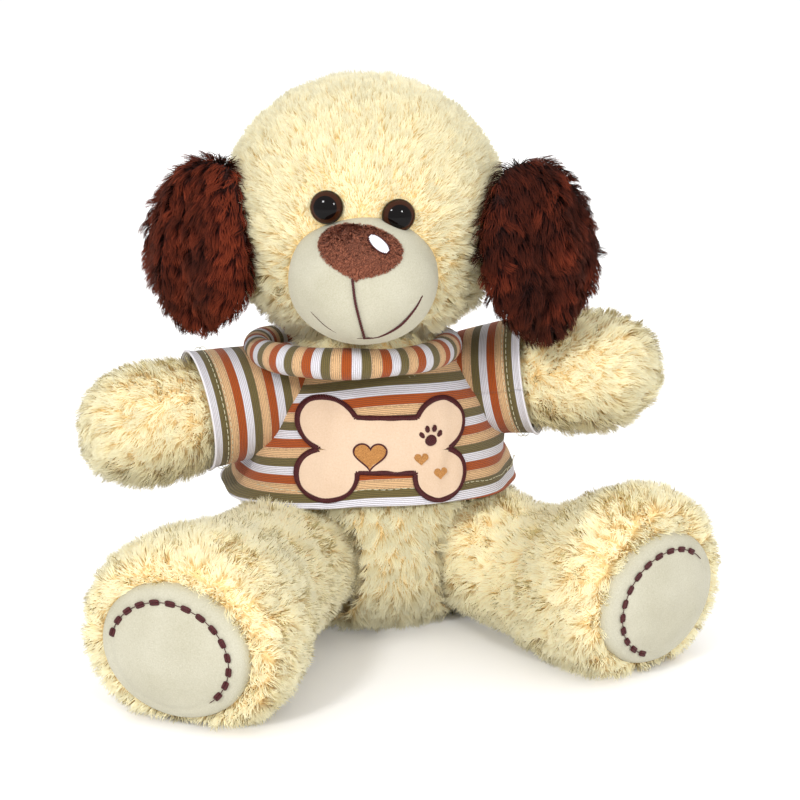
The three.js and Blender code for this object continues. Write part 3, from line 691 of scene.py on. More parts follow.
def makeEyes():
    # a brown and black dome, glossy all over
    finish = Finish("eye_lens", Roughness=0.04, IOR=1.24)
    along, edge = finish.uv("ring", 1), eyeLook["pupilShare"]
    inner = finish.mix(finish.ramp(along, edge - 0.02, edge + 0.02), (0.003, 0.002, 0.002),
                       eyeLook["iris"])
    finish.colour(finish.mix(finish.ramp(along, 0.90, 0.97), inner, (0.006, 0.003, 0.002)))
    rings, around = 18, 40
    angle = np.linspace(0, 2 * math.pi, around, endpoint=False)
    profile = [(math.sin(t) * 1.0, math.cos(t)) for t in np.linspace(0.02, math.pi / 2, rings)]
    profile += [(0.93, -0.2), (0.5, -0.3), (0.02, -0.3)]
    faces = gridFaces(len(profile), around, closedColumns=True)[:, ::-1]
    for side in sides:
        middle = cornersOf(f"eye_{side}_lens").mean(axis=0)
        out = unit(middle - cornersOf(f"eye_{side}_washer").mean(axis=0))
        right = unit(np.cross(out, upwards))
        top = np.cross(right, out)
        rim = middle - out * eyeLook["set"] - np.array([0, 0, eyeLook["drop"]])
        ring = np.cos(angle)[:, None] * right + np.sin(angle)[:, None] * top
        points, pairs = [], []
        for r, h in profile:
            points.append(rim + ring * r * eyeLook["radius"] + out * h * eyeLook["height"])
            pairs.append(np.stack([angle / 7, np.full(around, r if h > -0.1 else 1.0)], axis=1))
        obj = meshOf(f"eye_{side}", np.concatenate(points), faces, finish,
                     {"ring": np.concatenate(pairs)})
        parts = [f"eye_{side}_{part}" for part in ("lens", "pupil", "iris")]
        placed(obj, "head", "eye_brown", *parts)


def makeMuzzle():
    # a stuffed ball with a crease down its middle where the mouth is sewn
    rows, columns = 90, 140
    lat, lon = gridOf(np.linspace(0.001, math.pi - 0.001, rows),
                      np.linspace(0, 2 * math.pi, columns, endpoint=False))
    ball = np.stack([np.sin(lat) * np.cos(lon), -np.cos(lat), np.sin(lat) * np.sin(lon)], axis=1)
    points = muzzleMiddle + ball * muzzleHalf
    gap = np.abs(points[:, 0] - seamAt(points[:, 2]))
    crease = np.exp(-(gap / muzzleLook["creaseWidth"]) ** 2)
    crease = crease * np.clip((204 * mm - points[:, 2]) / (8 * mm), 0, 1)
    crease *= np.clip((points[:, 2] - 163 * mm) / (8 * mm), 0, 1)
    crease *= points[:, 1] < muzzleMiddle[1]
    lumps = wave(points, 30 * mm, 3) * 0.5 * mm
    points = points + unit(ball / muzzleHalf) * (lumps - crease * muzzleLook["crease"])[:, None]
    obj = meshOf("muzzle", points, gridFaces(rows, columns, closedColumns=True), finishes["ivory"])
    placed(obj, "head", "ivory_velour", "muzzle_cover", "muzzle_stuffing")


mouthLook = {
    # knots of each line from the front, and half its thread's width, in millimetres
    "seam": (((-9.2, 200.5), (-8.0, 190), (-5.8, 179), (-3.8, 169)), 0.62),
    "smile": (((-3.8, 169), (4, 170.3), (13, 175.5), (20, 183.5), (23.5, 189.5)), 0.85),
    # painted shadow: a thin maroon thread line beside the smile's left end, where there is only shade
    "shadow": (((-3.8, 169), (-12, 170), (-21, 174.5), (-29, 182)), 0.22),
}
mouthStitch = 1.5 * mm


def seamAt(z):
    line = curveThrough(mouthLook["seam"][0], 60)[::-1] * mm
    return np.interp(z, line[:, 1], line[:, 0])


def stitchRow(line, up, widths, overlap, slant, height=0.6):
    # one short plump stitch after another along a line
    at = np.linspace(0, len(line) - 1, len(widths) * 2 + 1)
    spot, lift = between(line, at), unit(between(up, at))
    t = np.array([-1, -0.93, -0.6, 0, 0.6, 0.93, 1])[:, None]
    bulge = np.array([0.12, 0.5, 0.9, 1, 0.9, 0.5, 0.12])
    shapes = []
    for i, width in enumerate(widths):
        a, m, b = spot[2 * i:2 * i + 3]
        n = lift[2 * i + 1]
        reach = (b - a) / 2 * overlap
        turn = reach + unit(np.cross(b - a, n)) * slant * np.linalg.norm(reach)
        rows = m + turn * t + n * (0.1 * mm)
        shapes.append(tubeAlong(rows, bulge * width, np.tile(n, (7, 1)), 6, height))
    return shapes


def makeMouth():
    shapes, steps = [], 160
    for key, (knots, fat) in mouthLook.items():
        flatLine = curveThrough(knots, steps) * mm
        line, up = onMuzzle(flatLine[:, 0], flatLine[:, 1], -0.1 * mm)
        if key == "seam":  # drawn into the crease, apart from its ends
            ends = np.minimum(np.arange(steps) / 20, (steps - 1 - np.arange(steps)) / 20)
            line = line - up * (np.clip(ends, 0, 1) * 0.8 * mm)[:, None]
        count = max(int(runOf(line)[-1] / mouthStitch), 1)
        t = np.linspace(0, 1, count)
        widths = fat * mm * (0.55 + 0.45 * np.sin(math.pi * np.clip(t * 0.9 + 0.05, 0, 1)))
        if key == "seam":
            widths = np.full(count, fat * mm)
        shapes += stitchRow(line, up, widths, 1.5, 0.16)
    # the mouth piece also holds the painted-shadow line
    threadPiece("mouth", shapes, "head", "maroon", "mouth_embroidery")


noseLook = {
    "middle": (-5.6, 211.2), "half": (20.2, 10.8), "roll": -9, "rise": 2.2 * mm,
    "pile": {
        "density": 9.0, "length": 1.3 * mm, "lay": 0.45, "unruly": 0.3, "locks": 0.9 * mm,
        "gather": 0.3, "thick": 0.6},
    # a triangle with round corners and its tip down
    "knots": (
        (0, -1.05), (0.12, -0.93), (0.42, -0.80), (0.76, -0.55), (0.97, -0.12), (0.95, 0.28),
        (0.74, 0.64), (0.38, 0.90), (0, 0.98), (-0.38, 0.92), (-0.72, 0.72), (-0.95, 0.34),
        (-0.98, -0.05), (-0.80, -0.48), (-0.45, -0.76), (-0.12, -0.93), (0, -1.05)),
}
glintLook = {"middle": (2.6, 213.4), "half": (5.4, 2.2), "turn": -44, "stitches": 15, "flat": 0.8}


def noseEdge(count):
    line = curveThrough(noseLook["knots"], count + 1)[:-1]
    turn = math.radians(noseLook["roll"])
    x, z = line[:, 0] * noseLook["half"][0], line[:, 1] * noseLook["half"][1]
    return np.stack([x * math.cos(turn) - z * math.sin(turn),
                     x * math.sin(turn) * 0.6 + z * math.cos(turn)], axis=1) * mm


def makeNose():
    around, rings = 90, 16
    edge = noseEdge(around)
    share = 1 - np.linspace(0, 1, rings) ** 1.6
    share = np.concatenate([[1.0], share[1:]])
    height = np.concatenate([[-0.8], (1 - share[1:] ** 5)]) * noseLook["rise"]
    middle = np.array(noseLook["middle"]) * mm
    points = []
    for s, h in zip(share, height):
        flatSpot = middle + edge * max(s, 0.004)
        points.append(onMuzzle(flatSpot[:, 0], flatSpot[:, 1], np.full(around, h))[0])
    points = np.concatenate(points)
    points += (wave(points, 14 * mm, 8) * 0.15 * mm)[:, None] * np.array([0, -1, 0.2])
    faces = gridFaces(rings, around, closedColumns=True)
    placed(meshOf("nose", points, faces, finishes["nose"]), "head", "nose_plush", "nose_patch")
    triangles = np.concatenate([faces[:, [0, 1, 2]], faces[:, [0, 2, 3]]])
    a, b, c = (points[triangles[:, i]] for i in range(3))
    areas = np.linalg.norm(np.cross(b - a, c - a), axis=1)
    furOn("nose_pile", "head", (points, triangles[areas > 1e-11]), "nosePile",
          lambda roots, up: np.tile([0.0, 0, -1.0], (len(roots), 1)),
          lambda roots, up: np.ones(len(roots)), noseLook["pile"], 21)
    makeGlint()


def makeGlint():
    # a slanted oval filled with close straight stitches, edged with a thin dark one
    turn, half, flat = math.radians(glintLook["turn"]), glintLook["half"], glintLook["flat"]
    middle = np.array(glintLook["middle"]) * mm
    lift = noseLook["rise"] + 0.9 * mm
    shapes = []
    for i in range(glintLook["stitches"]):
        u = (i - glintLook["stitches"] // 2) / 7.6
        v = math.sqrt(1 - u * u)
        x, z = turned(np.full(7, u * half[0]), np.linspace(-v * half[1], v * half[1], 7), turn)
        rise = lift + 0.35 * mm * np.sqrt(np.maximum(1 - np.linspace(-1, 1, 7) ** 2, 0))
        line, up = onMuzzle(middle[0] + x * mm, middle[1] + z * flat * mm, rise)
        shapes.append(tubeAlong(line, 0.42 * mm, up, 6, 0.8))
    threadPiece("nose_highlight", shapes, "head", "whiteThread", "nose_glint")
    angle = np.linspace(0, 2 * math.pi, 61)
    x, z = turned(np.cos(angle) * (half[0] + 0.5), np.sin(angle) * (half[1] + 0.5), turn)
    line, up = onMuzzle(middle[0] + x * mm, middle[1] + z * flat * mm, lift + 0.05 * mm)
    threadPiece("nose_highlight_edge", [tubeAlong(line, 0.22 * mm, up, 5, 0.8)], "head", "maroon")


makeHead()
makeEyes()
makeMuzzle()
makeMouth()
makeNose()
print("head made")


# ---------- ears ----------

earLook = {
    "inset": 3.6 * mm, "fill": 0.35, "folds": 2.6, "foldDepth": 6.5 * mm, "widen": 1.12,
    # painted shade: the ear on the trunk's left is drawn much darker than the other
    "lean": 4.5 * mm, "sideShades": {"left": -0.5, "right": -0.05},
    "fur": {
        "density": 1.6, "length": 9.0 * mm, "lay": 0.68, "unruly": 0.30, "drift": 0.25,
        "locks": 4.5 * mm, "gather": 0.55, "stray": 0.15, "patchy": 0.26},
}


def makeEar(side):
    body = f"ear_{side}"
    parts = [f"{body}_cover", f"{body}_wadding"]
    points, triangles = sunk(remeshed(*parts), earLook["inset"])
    low, high = points.min(axis=0), points.max(axis=0)
    middle = (low + high) / 2
    out = unit((middle - headMiddle) * level)
    across = np.cross(upwards, out)
    flat = (points - middle) @ across
    rise = (points[:, 2] - low[2]) / (high[2] - low[2])
    inward = np.array([-sides[side], 0, 0])
    points += across * (flat * (earLook["widen"] - 1))[:, None]
    points += inward * (1 * mm + np.clip(rise - 0.35, 0, 1) * 1.5 * earLook["lean"])[:, None]
    face = np.clip((pointNormals(points, triangles) @ out), -1, 1)
    fold = np.cos(flat / (np.abs(flat).max()) * math.pi * earLook["folds"] + 0.6 * sides[side]
                  + rise * 1.1)
    depth = (fold * 0.5 - 0.5) * np.clip(np.abs(face), 0, 1) * np.clip(1.25 - rise, 0.2, 1)
    points = points + pointNormals(points, triangles) * (depth * earLook["foldDepth"])[:, None]
    surface = smoothed(points, triangles, 3), triangles
    skinOn(body, body, parts, "brown", surface)
    hinge = pivotOf(f"{body}_lift")

    def combing(roots, up):
        return -upwards + unit(roots - hinge) * 0.6 + out * 0.15

    furOn(f"{body}_pile", body, surface, "brown", combing, lambda roots, up: np.ones(len(roots)),
          # each ear's pile gets its side's painted shade
          {**earLook["fur"], "toneAndShading": earLook["sideShades"][side]}, 31 + sides[side])


for side in sides:
    makeEar(side)
print("ears made")


# ---------- trunk ----------

trunkLook = {
    "inset": 5.2 * mm, "fill": 0.9, "tuck": 13 * mm, "tuckBelow": 32 * mm,
    "fur": {
        "density": 1.6, "length": 9.0 * mm, "lay": 0.42, "unruly": 0.34, "locks": 4.0 * mm,
        # the offset at the end of the next line darkens the trunk's whole pile as painted shade
        "gather": 0.55, "stray": 0.22, "toneAndShading": -0.45},
}
shirtLook = {
    "clear": 2.6 * mm,  # from the trunk's fur fabric to the shirt
    "hem": 73 * mm, "top": 139 * mm, "thick": 1.3 * mm, "flare": 2.6 * mm,
    "hemDip": (5.5, 3.0), "crease": 2.4 * mm, "curl": 2.6,
    "stripes": {"stretch": 1.03, "start": -5.2, "pull": (9.5, 6.0)},
}
armPivots = {side: pivotOf(f"arm_{side}_raise") for side in sides}
trunkRight = unit((armPivots["left"] - armPivots["right"]) * level)
trunkBack = np.cross(upwards, trunkRight)
trunkHigh = boxOf("torso_cover")[1]
trunkTree = treeOf(*remeshed("torso_cover", "torso_stuffing", rounds=4))


def trunkRadii(z):
    # half the trunk's width at each height, and half its depth, felt from the front
    depth = []
    for height in np.atleast_1d(z):
        lowered = min(height, trunkHigh[2] - 4 * mm)
        start = Vector(-trunkBack * 0.3 + np.array([0, 0, lowered]))
        hit = trunkTree.ray_cast(start, Vector(trunkBack))
        depth.append(-float(np.dot(np.array(hit[0]), trunkBack)))
    depth = np.array(depth)
    return depth / 0.9, depth


def makeTrunk():
    parts = ["torso_cover", "torso_stuffing", "pellet_bag"]
    surface = sunk(remeshed(*parts), trunkLook["inset"])
    points = surface[0]
    front = np.clip(-(points @ trunkBack) / (50 * mm), 0, 1)
    under = np.clip(1 - points[:, 2] / trunkLook["tuckBelow"], 0, 1) ** 1.5
    points += trunkBack * (front * under * trunkLook["tuck"])[:, None]
    points[:, 2] = np.maximum(points[:, 2], 1.2 * mm)
    skinOn("trunk", "torso", parts, "cream", surface)
    blockers = [treeOf(*remeshed(f"{limb}_cover", f"{limb}_stuffing", rounds=4))
                for limb in ("leg_left", "leg_right", "tail")]

    def wanted(roots, up):
        # under the hem and above the collar, clear of the limbs and the floor
        hem = shirtHem(np.arctan2(roots @ trunkBack, roots @ trunkRight))
        keep = np.where(roots[:, 2] < hem + 5 * mm, 1.0, 0.0)
        keep = np.where(roots[:, 2] > 137 * mm, 1.25, keep)
        keep = np.where((roots[:, 2] < 3 * mm) & (up[:, 2] < -0.6), 0.0, keep)
        for tree in blockers:
            some = keep > 0
            keep[some] = np.where(depthIn(tree, roots[some]) > -1.5 * mm, 0.0, keep[some])
        return keep

    def combing(roots, up):
        high = (roots[:, 2] > 120 * mm)[:, None]
        return np.where(high, unit(roots * level) + upwards * 0.9, up * 0.2 - upwards)

    furOn("trunk_pile", "torso", surface, "cream", combing, wanted, trunkLook["fur"], 51)


# ---------- shirt ----------

def shirtHem(a):
    # the hem's height round the trunk: angle 0 is its left side and -90 degrees its front
    front, left = shirtLook["hemDip"]
    dip = front * np.clip(-np.sin(a), 0, 1) ** 2 - left * np.clip(np.cos(a), 0, 1) ** 2
    return shirtLook["hem"] + dip * mm


def shirtSpot(a, z, lift=0.0):
    # a point of the shirt's outside at an angle round the trunk and a height
    width, depth = trunkRadii(np.clip(z, shirtLook["hem"] - 6 * mm, None))
    hem = shirtHem(a)
    t = np.clip((z - hem) / (shirtLook["top"] - hem), 0, 1)
    off = shirtLook["clear"] + shirtLook["thick"]
    off = off + shirtLook["flare"] * np.clip(1 - t * 2.2, 0, 1) ** 1.5
    # broad soft folds, more at the hem, and creases that run down from each armpit
    broad = np.sin(a * 5 + 0.8 + t * 1.5) * 1.0 + np.sin(a * 9 + 2.1 - t * 2) * 0.8
    off = off + broad * (0.25 + 0.75 * np.clip(1 - t * 1.6, 0, 1)) * mm
    high = np.exp(-((t - 0.40) / 0.28) ** 2)
    for half in range(-2, 3):
        turn = a - half * math.pi
        near = np.exp(-(turn / 0.50) ** 2)
        off = off + near * np.sin(t * 15 + np.abs(turn) * 6) * high * shirtLook["crease"]
        off = off - near * np.clip((t - 0.35) / 0.3, 0, 1) * 1.5 * mm
    # the hem stands out at the edge, and curls at the trunk's right
    edge = np.clip(1 - (z - hem) / (5 * mm), 0, 1)
    right = np.exp(-((np.cos(a) + 1) / 0.16) ** 2)
    off = off + edge ** 2 * (0.8 + shirtLook["curl"] * right) * mm
    off = off - np.clip(1 - (z - hem) / (11 * mm), 0, 1) * (1 - edge) * right * 2.4 * mm
    off = off + lift
    shift = -2.5 * mm * np.clip(1 - t * 1.4, 0, 1)
    return (trunkRight * (np.cos(a) * (width + off) + shift)[:, None]
            + trunkBack * (np.sin(a) * (depth + off))[:, None] + upwards * z[:, None])


def knitPiece(name, points, faces, pairs, thick, offset):
    obj = meshOf(name, points, faces, finishes["knit"], {"cloth": pairs})
    cloth = obj.modifiers.new("cloth", "SOLIDIFY")
    cloth.thickness, cloth.offset = thick, offset
    return obj


def makeShirt():
    rows, columns = 100, 320
    around = np.linspace(-math.pi / 2, 1.5 * math.pi, columns + 1) + math.pi
    t, a = gridOf(np.linspace(0, 1, rows), around)
    hem = shirtHem(a)
    z = hem + (shirtLook["top"] - hem) * t
    # the stripes hang lower at the sides, where the armholes pull the cloth
    stripes, side = shirtLook["stripes"], np.cos(a)
    pull = np.where(side < 0, *stripes["pull"]) * side ** 2
    count = (z - shirtLook["hem"]) / mm * stripes["stretch"] + stripes["start"] + pull
    obj = knitPiece("shirt", shirtSpot(a, z), gridFaces(rows, columns + 1),
                    np.stack([a * 66, count], axis=1), shirtLook["thick"], -1)
    placed(obj, "torso", "striped_knit", "shirt_body")
    # a pale line of stitches round the hem, with one loose end
    steps = 260
    front = np.linspace(-2.7, -0.05, steps)
    waver = np.sin(np.linspace(0, 60, steps)) * 0.25 * mm
    line = shirtSpot(front, shirtHem(front) + 7.5 * mm + waver, 0.1 * mm)
    wander = np.linspace(0, 1, 60)
    end = line[-40] + (line[-1] - line[-40]) * wander[:, None]
    end[:, 2] += np.sin(wander * 9) * 3 * mm * wander
    end += unit(end * level) * 1.4 * mm
    threadPiece("hem_stitches", [*dashes(line, unit(line * level), 2.6, 0.9, 0.22 * mm),
                                 tubeAlong(end, 0.2 * mm, unit(end * level), 6, 1.0)],
                "torso", "paleThread")


sleeveLook = {
    "thick": 1.3 * mm, "from": -8 * mm, "radii": (27.0, 27.6, 29.2, 30.2), "round": 0.182,
    "bend": 30 * mm, "stitchRows": (6.2, 8.4),
}


def makeSleeve(side):
    # a tube from inside the shirt to past the cuff, with the arm's line as its middle
    pivot = armPivots[side]
    along = unit(cornersOf(f"arm_{side}_stuffing").mean(axis=0) - pivot)
    end = ((cornersOf(f"sleeve_{side}") - pivot) @ along).max() + 2 * mm
    right = unit(np.cross(along, upwards))
    top = np.cross(right, along)
    rows, columns, first = 60, 110, sleeveLook["from"]
    s, a = gridOf(np.linspace(first, end, rows), np.linspace(0, 2 * math.pi, columns + 1))
    t = (s - first) / (end - first)
    radius = np.interp(t, np.linspace(0, 1, 4), sleeveLook["radii"]) * mm
    radius += np.sin(a * 3 + 1.2 + t * 2.5) * 0.7 * mm * t
    under = np.clip(-np.sin(a), 0, 1)
    radius += np.sin(t * 15) * np.exp(-((t - 0.35) / 0.25) ** 2) * under * 1.0 * mm
    radius += np.clip((t - 0.93) / 0.07, 0, 1) ** 2 * 1.2 * mm
    ring = np.cos(a)[:, None] * right + np.sin(a)[:, None] * top
    points = pivot + along * s[:, None] + ring * radius[:, None]
    points[:, 2] -= np.clip(np.sin(a), 0, 1) * np.clip(1 - t * 3, 0, 1) * 1.5 * mm
    pairs = np.stack([a * 29, (end - s) / mm + 0.5 + np.sin(a * 2 + 1) * 0.6 * (1 - t)], axis=1)
    obj = knitPiece(f"sleeve_{side}_knit", points, gridFaces(rows, columns + 1), pairs,
                    sleeveLook["thick"], 1)
    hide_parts(f"sleeve_{side}")
    list(pivot + along * sleeveLook["bend"])
    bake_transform(obj)
    float(end - first)
    angle = np.linspace(0, 2 * math.pi, 181)
    cuff = (sleeveLook["radii"][3] * mm + sleeveLook["thick"]
            + np.sin(angle * 3 + 1.2 + 2.4) * 0.7 * mm + 0.1 * mm)[:, None]
    ring = np.cos(angle)[:, None] * right + np.sin(angle)[:, None] * top
    for row, away in enumerate(sleeveLook["stitchRows"], 1):
        line = pivot + along * (end - away * mm) + ring * (cuff - 0.35 * mm * away / 6)
        threadPiece(f"cuff_stitches_{side}_{row}", dashes(line, ring, 2.4, 0.9, 0.2 * mm),
                    f"arm_{side}", "paleThread")
    return along, end


collarLook = {"radius": 6.6, "thick": 1.5 * mm, "start": -88, "turn": 338}


def makeCollar():
    # a band of knit rolled outwards and down
    low, high = boxOf("shirt_collar")
    found = cornersOf("shirt_collar")
    ringRadius = (high[0] - low[0]) / 2 - 7.2 * mm
    front = found[found[:, 1] < low[1] + 8 * mm][:, 2].mean()
    back = found[found[:, 1] > high[1] - 8 * mm][:, 2].mean()
    around, rows = 240, 30
    start, turn = collarLook["start"], collarLook["turn"]
    a, r = gridOf(np.linspace(0, 2 * math.pi, around + 1),
                  np.radians(np.linspace(start, start + turn, rows)))
    tube = (collarLook["radius"] + 0.5 * np.sin(a * 3 + 1) + 0.25 * np.sin(a * 7)) * mm
    height = (front + back) / 2 + np.sin(a) * (back - front) / 2
    height = height + 1.5 * mm * np.abs(np.cos(a)) ** 4
    out = np.stack([np.cos(a), np.sin(a), np.zeros(len(a))], axis=1)
    # the roll opens downwards, inside first
    points = (low + high) / 2 * level + out * (ringRadius - np.cos(r) * tube)[:, None]
    points[:, 2] = height + np.sin(r) * tube
    pairs = np.stack([r * collarLook["radius"], a * ringRadius / mm], axis=1)
    obj = knitPiece("collar", points, gridFaces(around + 1, rows), pairs, collarLook["thick"], 0)
    placed(obj, "torso", "striped_knit", "shirt_collar")


makeTrunk()
print("trunk made")
makeShirt()
armLines = {side: makeSleeve(side) for side in sides}
makeCollar()
print("shirt made")


# ---------- arms ----------

armLook = {
    "inset": 5.2 * mm, "fill": 0.85,
    "shift": {"left": (-2.2 * mm, 0, -1.8 * mm), "right": (-1.8 * mm, 0, -1.8 * mm)},
    "fur": {
        "density": 1.8, "length": 8.6 * mm, "lay": 0.45, "unruly": 0.28, "locks": 3.8 * mm,
        # the offset at the end of the next line darkens the arms' pile a little as painted shade
        "gather": 0.5, "stray": 0.22, "toneAndShading": -0.1},
}


def makeArm(side):
    body = f"arm_{side}"
    parts = [f"{body}_cover", f"{body}_stuffing"]
    points, triangles = sunk(remeshed(*parts), armLook["inset"])
    surface = points + np.array(armLook["shift"][side]), triangles
    skinOn(f"{body}_skin", body, parts, "cream", surface)
    along, end = armLines[side]

    def wanted(roots, up):
        # from just inside the cuff to the paw
        reach = (roots - armPivots[side]) @ along - end + 5 * mm
        return np.where(reach > 0, np.clip(0.6 + reach / (14 * mm), 0.6, 1.0), 0.0)

    def combing(roots, up):
        return np.tile(along, (len(roots), 1)) + np.array([0, 0, -0.25])

    furOn(f"{body}_pile", body, surface, "cream", combing, wanted, armLook["fur"],
          71 + sides[side])


for side in sides:
    makeArm(side)
print("arms made")


# ---------- legs ----------

legLook = {
    "inset": 3.6 * mm, "fill": 0.9,
    "widen": {"left": 1.05, "right": 1.10}, "tall": {"left": 1.0, "right": 0.95},
    "dip": {"left": 11 * mm, "right": -1 * mm},
    "fur": {
        "density": 2.0, "length": 7.6 * mm, "lay": 0.30, "unruly": 0.34, "locks": 4.4 * mm,
        # the offset at the end of the next line lightens the legs' whole pile as painted light
        "gather": 0.42, "stray": 0.3, "drift": 0.9, "toneAndShading": 0.25},
}
soleLook = {
    "half": (37.6, 33.4), "bulge": 8.5, "fill": 0.5, "stitchShare": 0.80, "stitch": 5.0,
    "gap": 2.6, "spans": {"left": (-68, 140), "right": (12, 230)},
}


def soleFrame(side):
    # a sole's foot, its outward, right and upward directions, and the leg's joint and line
    found = cornersOf(f"sole_{side}")
    middle = sum(boxOf(f"sole_{side}")) / 2
    pivot = pivotOf(f"leg_{side}_splay")
    flat = unit((middle - pivot) * level)
    out = np.linalg.svd(found - found.mean(axis=0), full_matrices=False)[2][2]
    out = out * np.sign(out @ flat)
    right = unit(np.cross(out, upwards))
    base = middle + out * ((found - middle) @ out).min()
    return base, out, right, np.cross(right, out), pivot, flat


def onSole(seen, u, v, lift=0.0):
    # a point of a sole at shares u and v of its half width and half height
    base, out, right, top = seen[:4]
    r = np.clip(np.hypot(u, v), 0, 1)
    rise = (1.4 + soleLook["bulge"] * (1 - r ** 2.4)) * mm + lift
    rise = rise - np.clip((r - 0.93) / 0.07, 0, 1) ** 2 * 2.4 * mm
    a, b = soleLook["half"]
    return (base + right * (u * a * mm)[:, None] + top * (v * b * mm)[:, None]
            + out * rise[:, None])


def makeSole(side, seen):
    out, share = seen[1], soleLook["stitchShare"]
    rings, around = 40, 120
    s, a = gridOf(np.linspace(0.004, 1, rings),
                  np.linspace(0, 2 * math.pi, around, endpoint=False))
    points = onSole(seen, s * np.cos(a), s * np.sin(a))
    lumps = wave(points, 22 * mm, 5 + sides[side]) * 0.35 * mm * (1 - s ** 4)
    points += out * lumps[:, None]
    points -= out * (np.exp(-((s - share) / 0.04) ** 2) * 0.5 * mm)[:, None]
    points = np.concatenate([points, points[-around:] - out * 4 * mm])
    points[:, 2] = np.maximum(points[:, 2], 0.8 * mm)
    pad = meshOf(f"sole_{side}_pad", points, gridFaces(rings + 1, around, closedColumns=True),
                 finishes["ivory"])
    placed(pad, f"leg_{side}", "ivory_velour", f"sole_{side}")
    # the running stitch: thick double stitches strung on a thin thread
    count = 300
    span = np.radians(np.linspace(*soleLook["spans"][side], count))
    line = onSole(seen, share * np.cos(span), share * np.sin(span), -0.2 * mm)
    pitch = soleLook["stitch"] + soleLook["gap"]
    steps = runOf(line)[-1] / mm / pitch
    bulge = np.sqrt(np.clip(1 - np.linspace(-1, 1, 9) ** 4, 0.02, 1)) * 1.3 * mm
    shapes = []
    for i in range(int(steps)):
        first = i * count / steps
        bit = between(line, np.linspace(first, first + count / steps * soleLook["stitch"] / pitch, 9))
        for shift in (-0.7, 0.7):
            away = unit(np.cross(np.gradient(bit, axis=0), out)) * shift * mm
            shapes.append(tubeAlong(bit + away + out * 0.35 * mm, bulge * 0.66,
                                    np.tile(out, (9, 1)), 7, 0.8))
    shapes.append(tubeAlong(line + out * 0.25 * mm, 0.2 * mm, np.tile(out, (count, 1)), 6, 1.0))
    threadPiece(f"sole_{side}_stitches", shapes, f"leg_{side}", "maroon", f"sole_{side}_stitching")


def makeLeg(side):
    body = f"leg_{side}"
    parts = [f"{body}_cover", f"{body}_stuffing"]
    surface = sunk(remeshed(*parts), legLook["inset"])
    points, seen = surface[0], soleFrame(side)
    base, out, right, top, pivot, flat = seen
    reach = np.clip(((points - pivot) @ flat) / ((base - pivot) @ flat), 0, 1)
    for way, share in ((right, legLook["widen"][side]), (top, legLook["tall"][side])):
        points += way * (((points - base) @ way) * (share - 1) * reach ** 2)[:, None]
    dip = legLook["dip"][side] * np.sin(np.pi * np.clip(reach * 1.25, 0, 1))
    points[:, 2] -= dip * np.clip(points[:, 2] / (40 * mm), 0, 1)
    points[:, 2] = np.maximum(points[:, 2], 1.2 * mm)
    skinOn(f"{body}_skin", body, parts, "cream", surface)
    makeSole(side, seen)

    def wanted(roots, up):
        # none on the sole, on the floor or inside the trunk, and shorter round the sole
        spot = roots - base
        u, v = (spot @ way / (half * mm) for way, half in zip((right, top), soleLook["half"]))
        keep = np.where(((up @ out) > 0.55) & (np.hypot(u, v) < 0.98), 0.0, 1.0)
        keep = np.where((roots[:, 2] < 3 * mm) & (up[:, 2] < -0.5), 0.0, keep)
        keep = np.where((roots - pivot) @ flat < -6 * mm, 0.0, keep)
        some = keep > 0
        keep[some] = np.where(depthIn(trunkTree, roots[some]) > 3 * mm, 0.0, keep[some])
        return keep * (0.72 + 0.28 * np.clip(-(spot @ out) / (14 * mm), 0, 1))

    def combing(roots, up):
        off = (roots - base) @ out
        near = np.clip(-off / (26 * mm), 0, 1)[:, None]
        radial = unit(roots - base - off[:, None] * out)
        leg = np.array([0, 0, -0.8]) - flat * 0.45
        return leg * near + (radial * 0.9 - flat * 0.1) * (1 - near)

    furOn(f"{body}_pile", body, surface, "cream", combing, wanted, legLook["fur"],
          91 + sides[side])


for side in sides:
    makeLeg(side)
print("legs made")


# ---------- tail and neck ----------

tailLook = {
    "inset": 4 * mm, "fill": 0.8,
    "fur": {
        "density": 1.4, "length": 9.0 * mm, "lay": 0.5, "unruly": 0.4, "locks": 4.6 * mm,
        "gather": 0.55},
}
neckLook = {
    "widen": 1.45, "fill": 0.9, "furReach": 16 * mm,
    "fur": {
        "density": 1.2, "length": 12 * mm, "lay": 0.4, "unruly": 0.4, "locks": 4.6 * mm,
        "gather": 0.5},
}


def makeTail():
    parts = ["tail_cover", "tail_stuffing"]
    surface = sunk(remeshed(*parts), tailLook["inset"])
    skinOn("tail", "tail", parts, "cream", surface)
    pivot = pivotOf("tail_wag")
    along = unit(sum(boxOf("tail_cover")) / 2 - pivot)

    def wanted(roots, up):
        return np.where((roots - pivot) @ along > 3 * mm, 1.0, 0.0)

    def combing(roots, up):
        return np.tile(along, (len(roots), 1)) + np.array([0, 0, -0.2])

    furOn("tail_pile", "tail", surface, "cream", combing, wanted, tailLook["fur"], 111)


def makeNeck():
    surface = remeshed("neck_stuffing")
    middle = pivotOf("neck_turn")
    surface[0][:, :2] = middle[:2] + (surface[0][:, :2] - middle[:2]) * neckLook["widen"]
    skinOn("neck", "neck", ["neck_stuffing"], "cream", surface)

    def wanted(roots, up):
        return np.where(np.abs(roots[:, 2] - middle[2]) < neckLook["furReach"], 1.0, 0.0)

    def combing(roots, up):
        return unit((roots - middle) * np.array([1, 1, 0.2]))

    furOn("neck_pile", "neck", surface, "cream", combing, wanted, neckLook["fur"], 121)


makeTail()
makeNeck()
print("tail and neck made")


# ---------- bone patch ----------

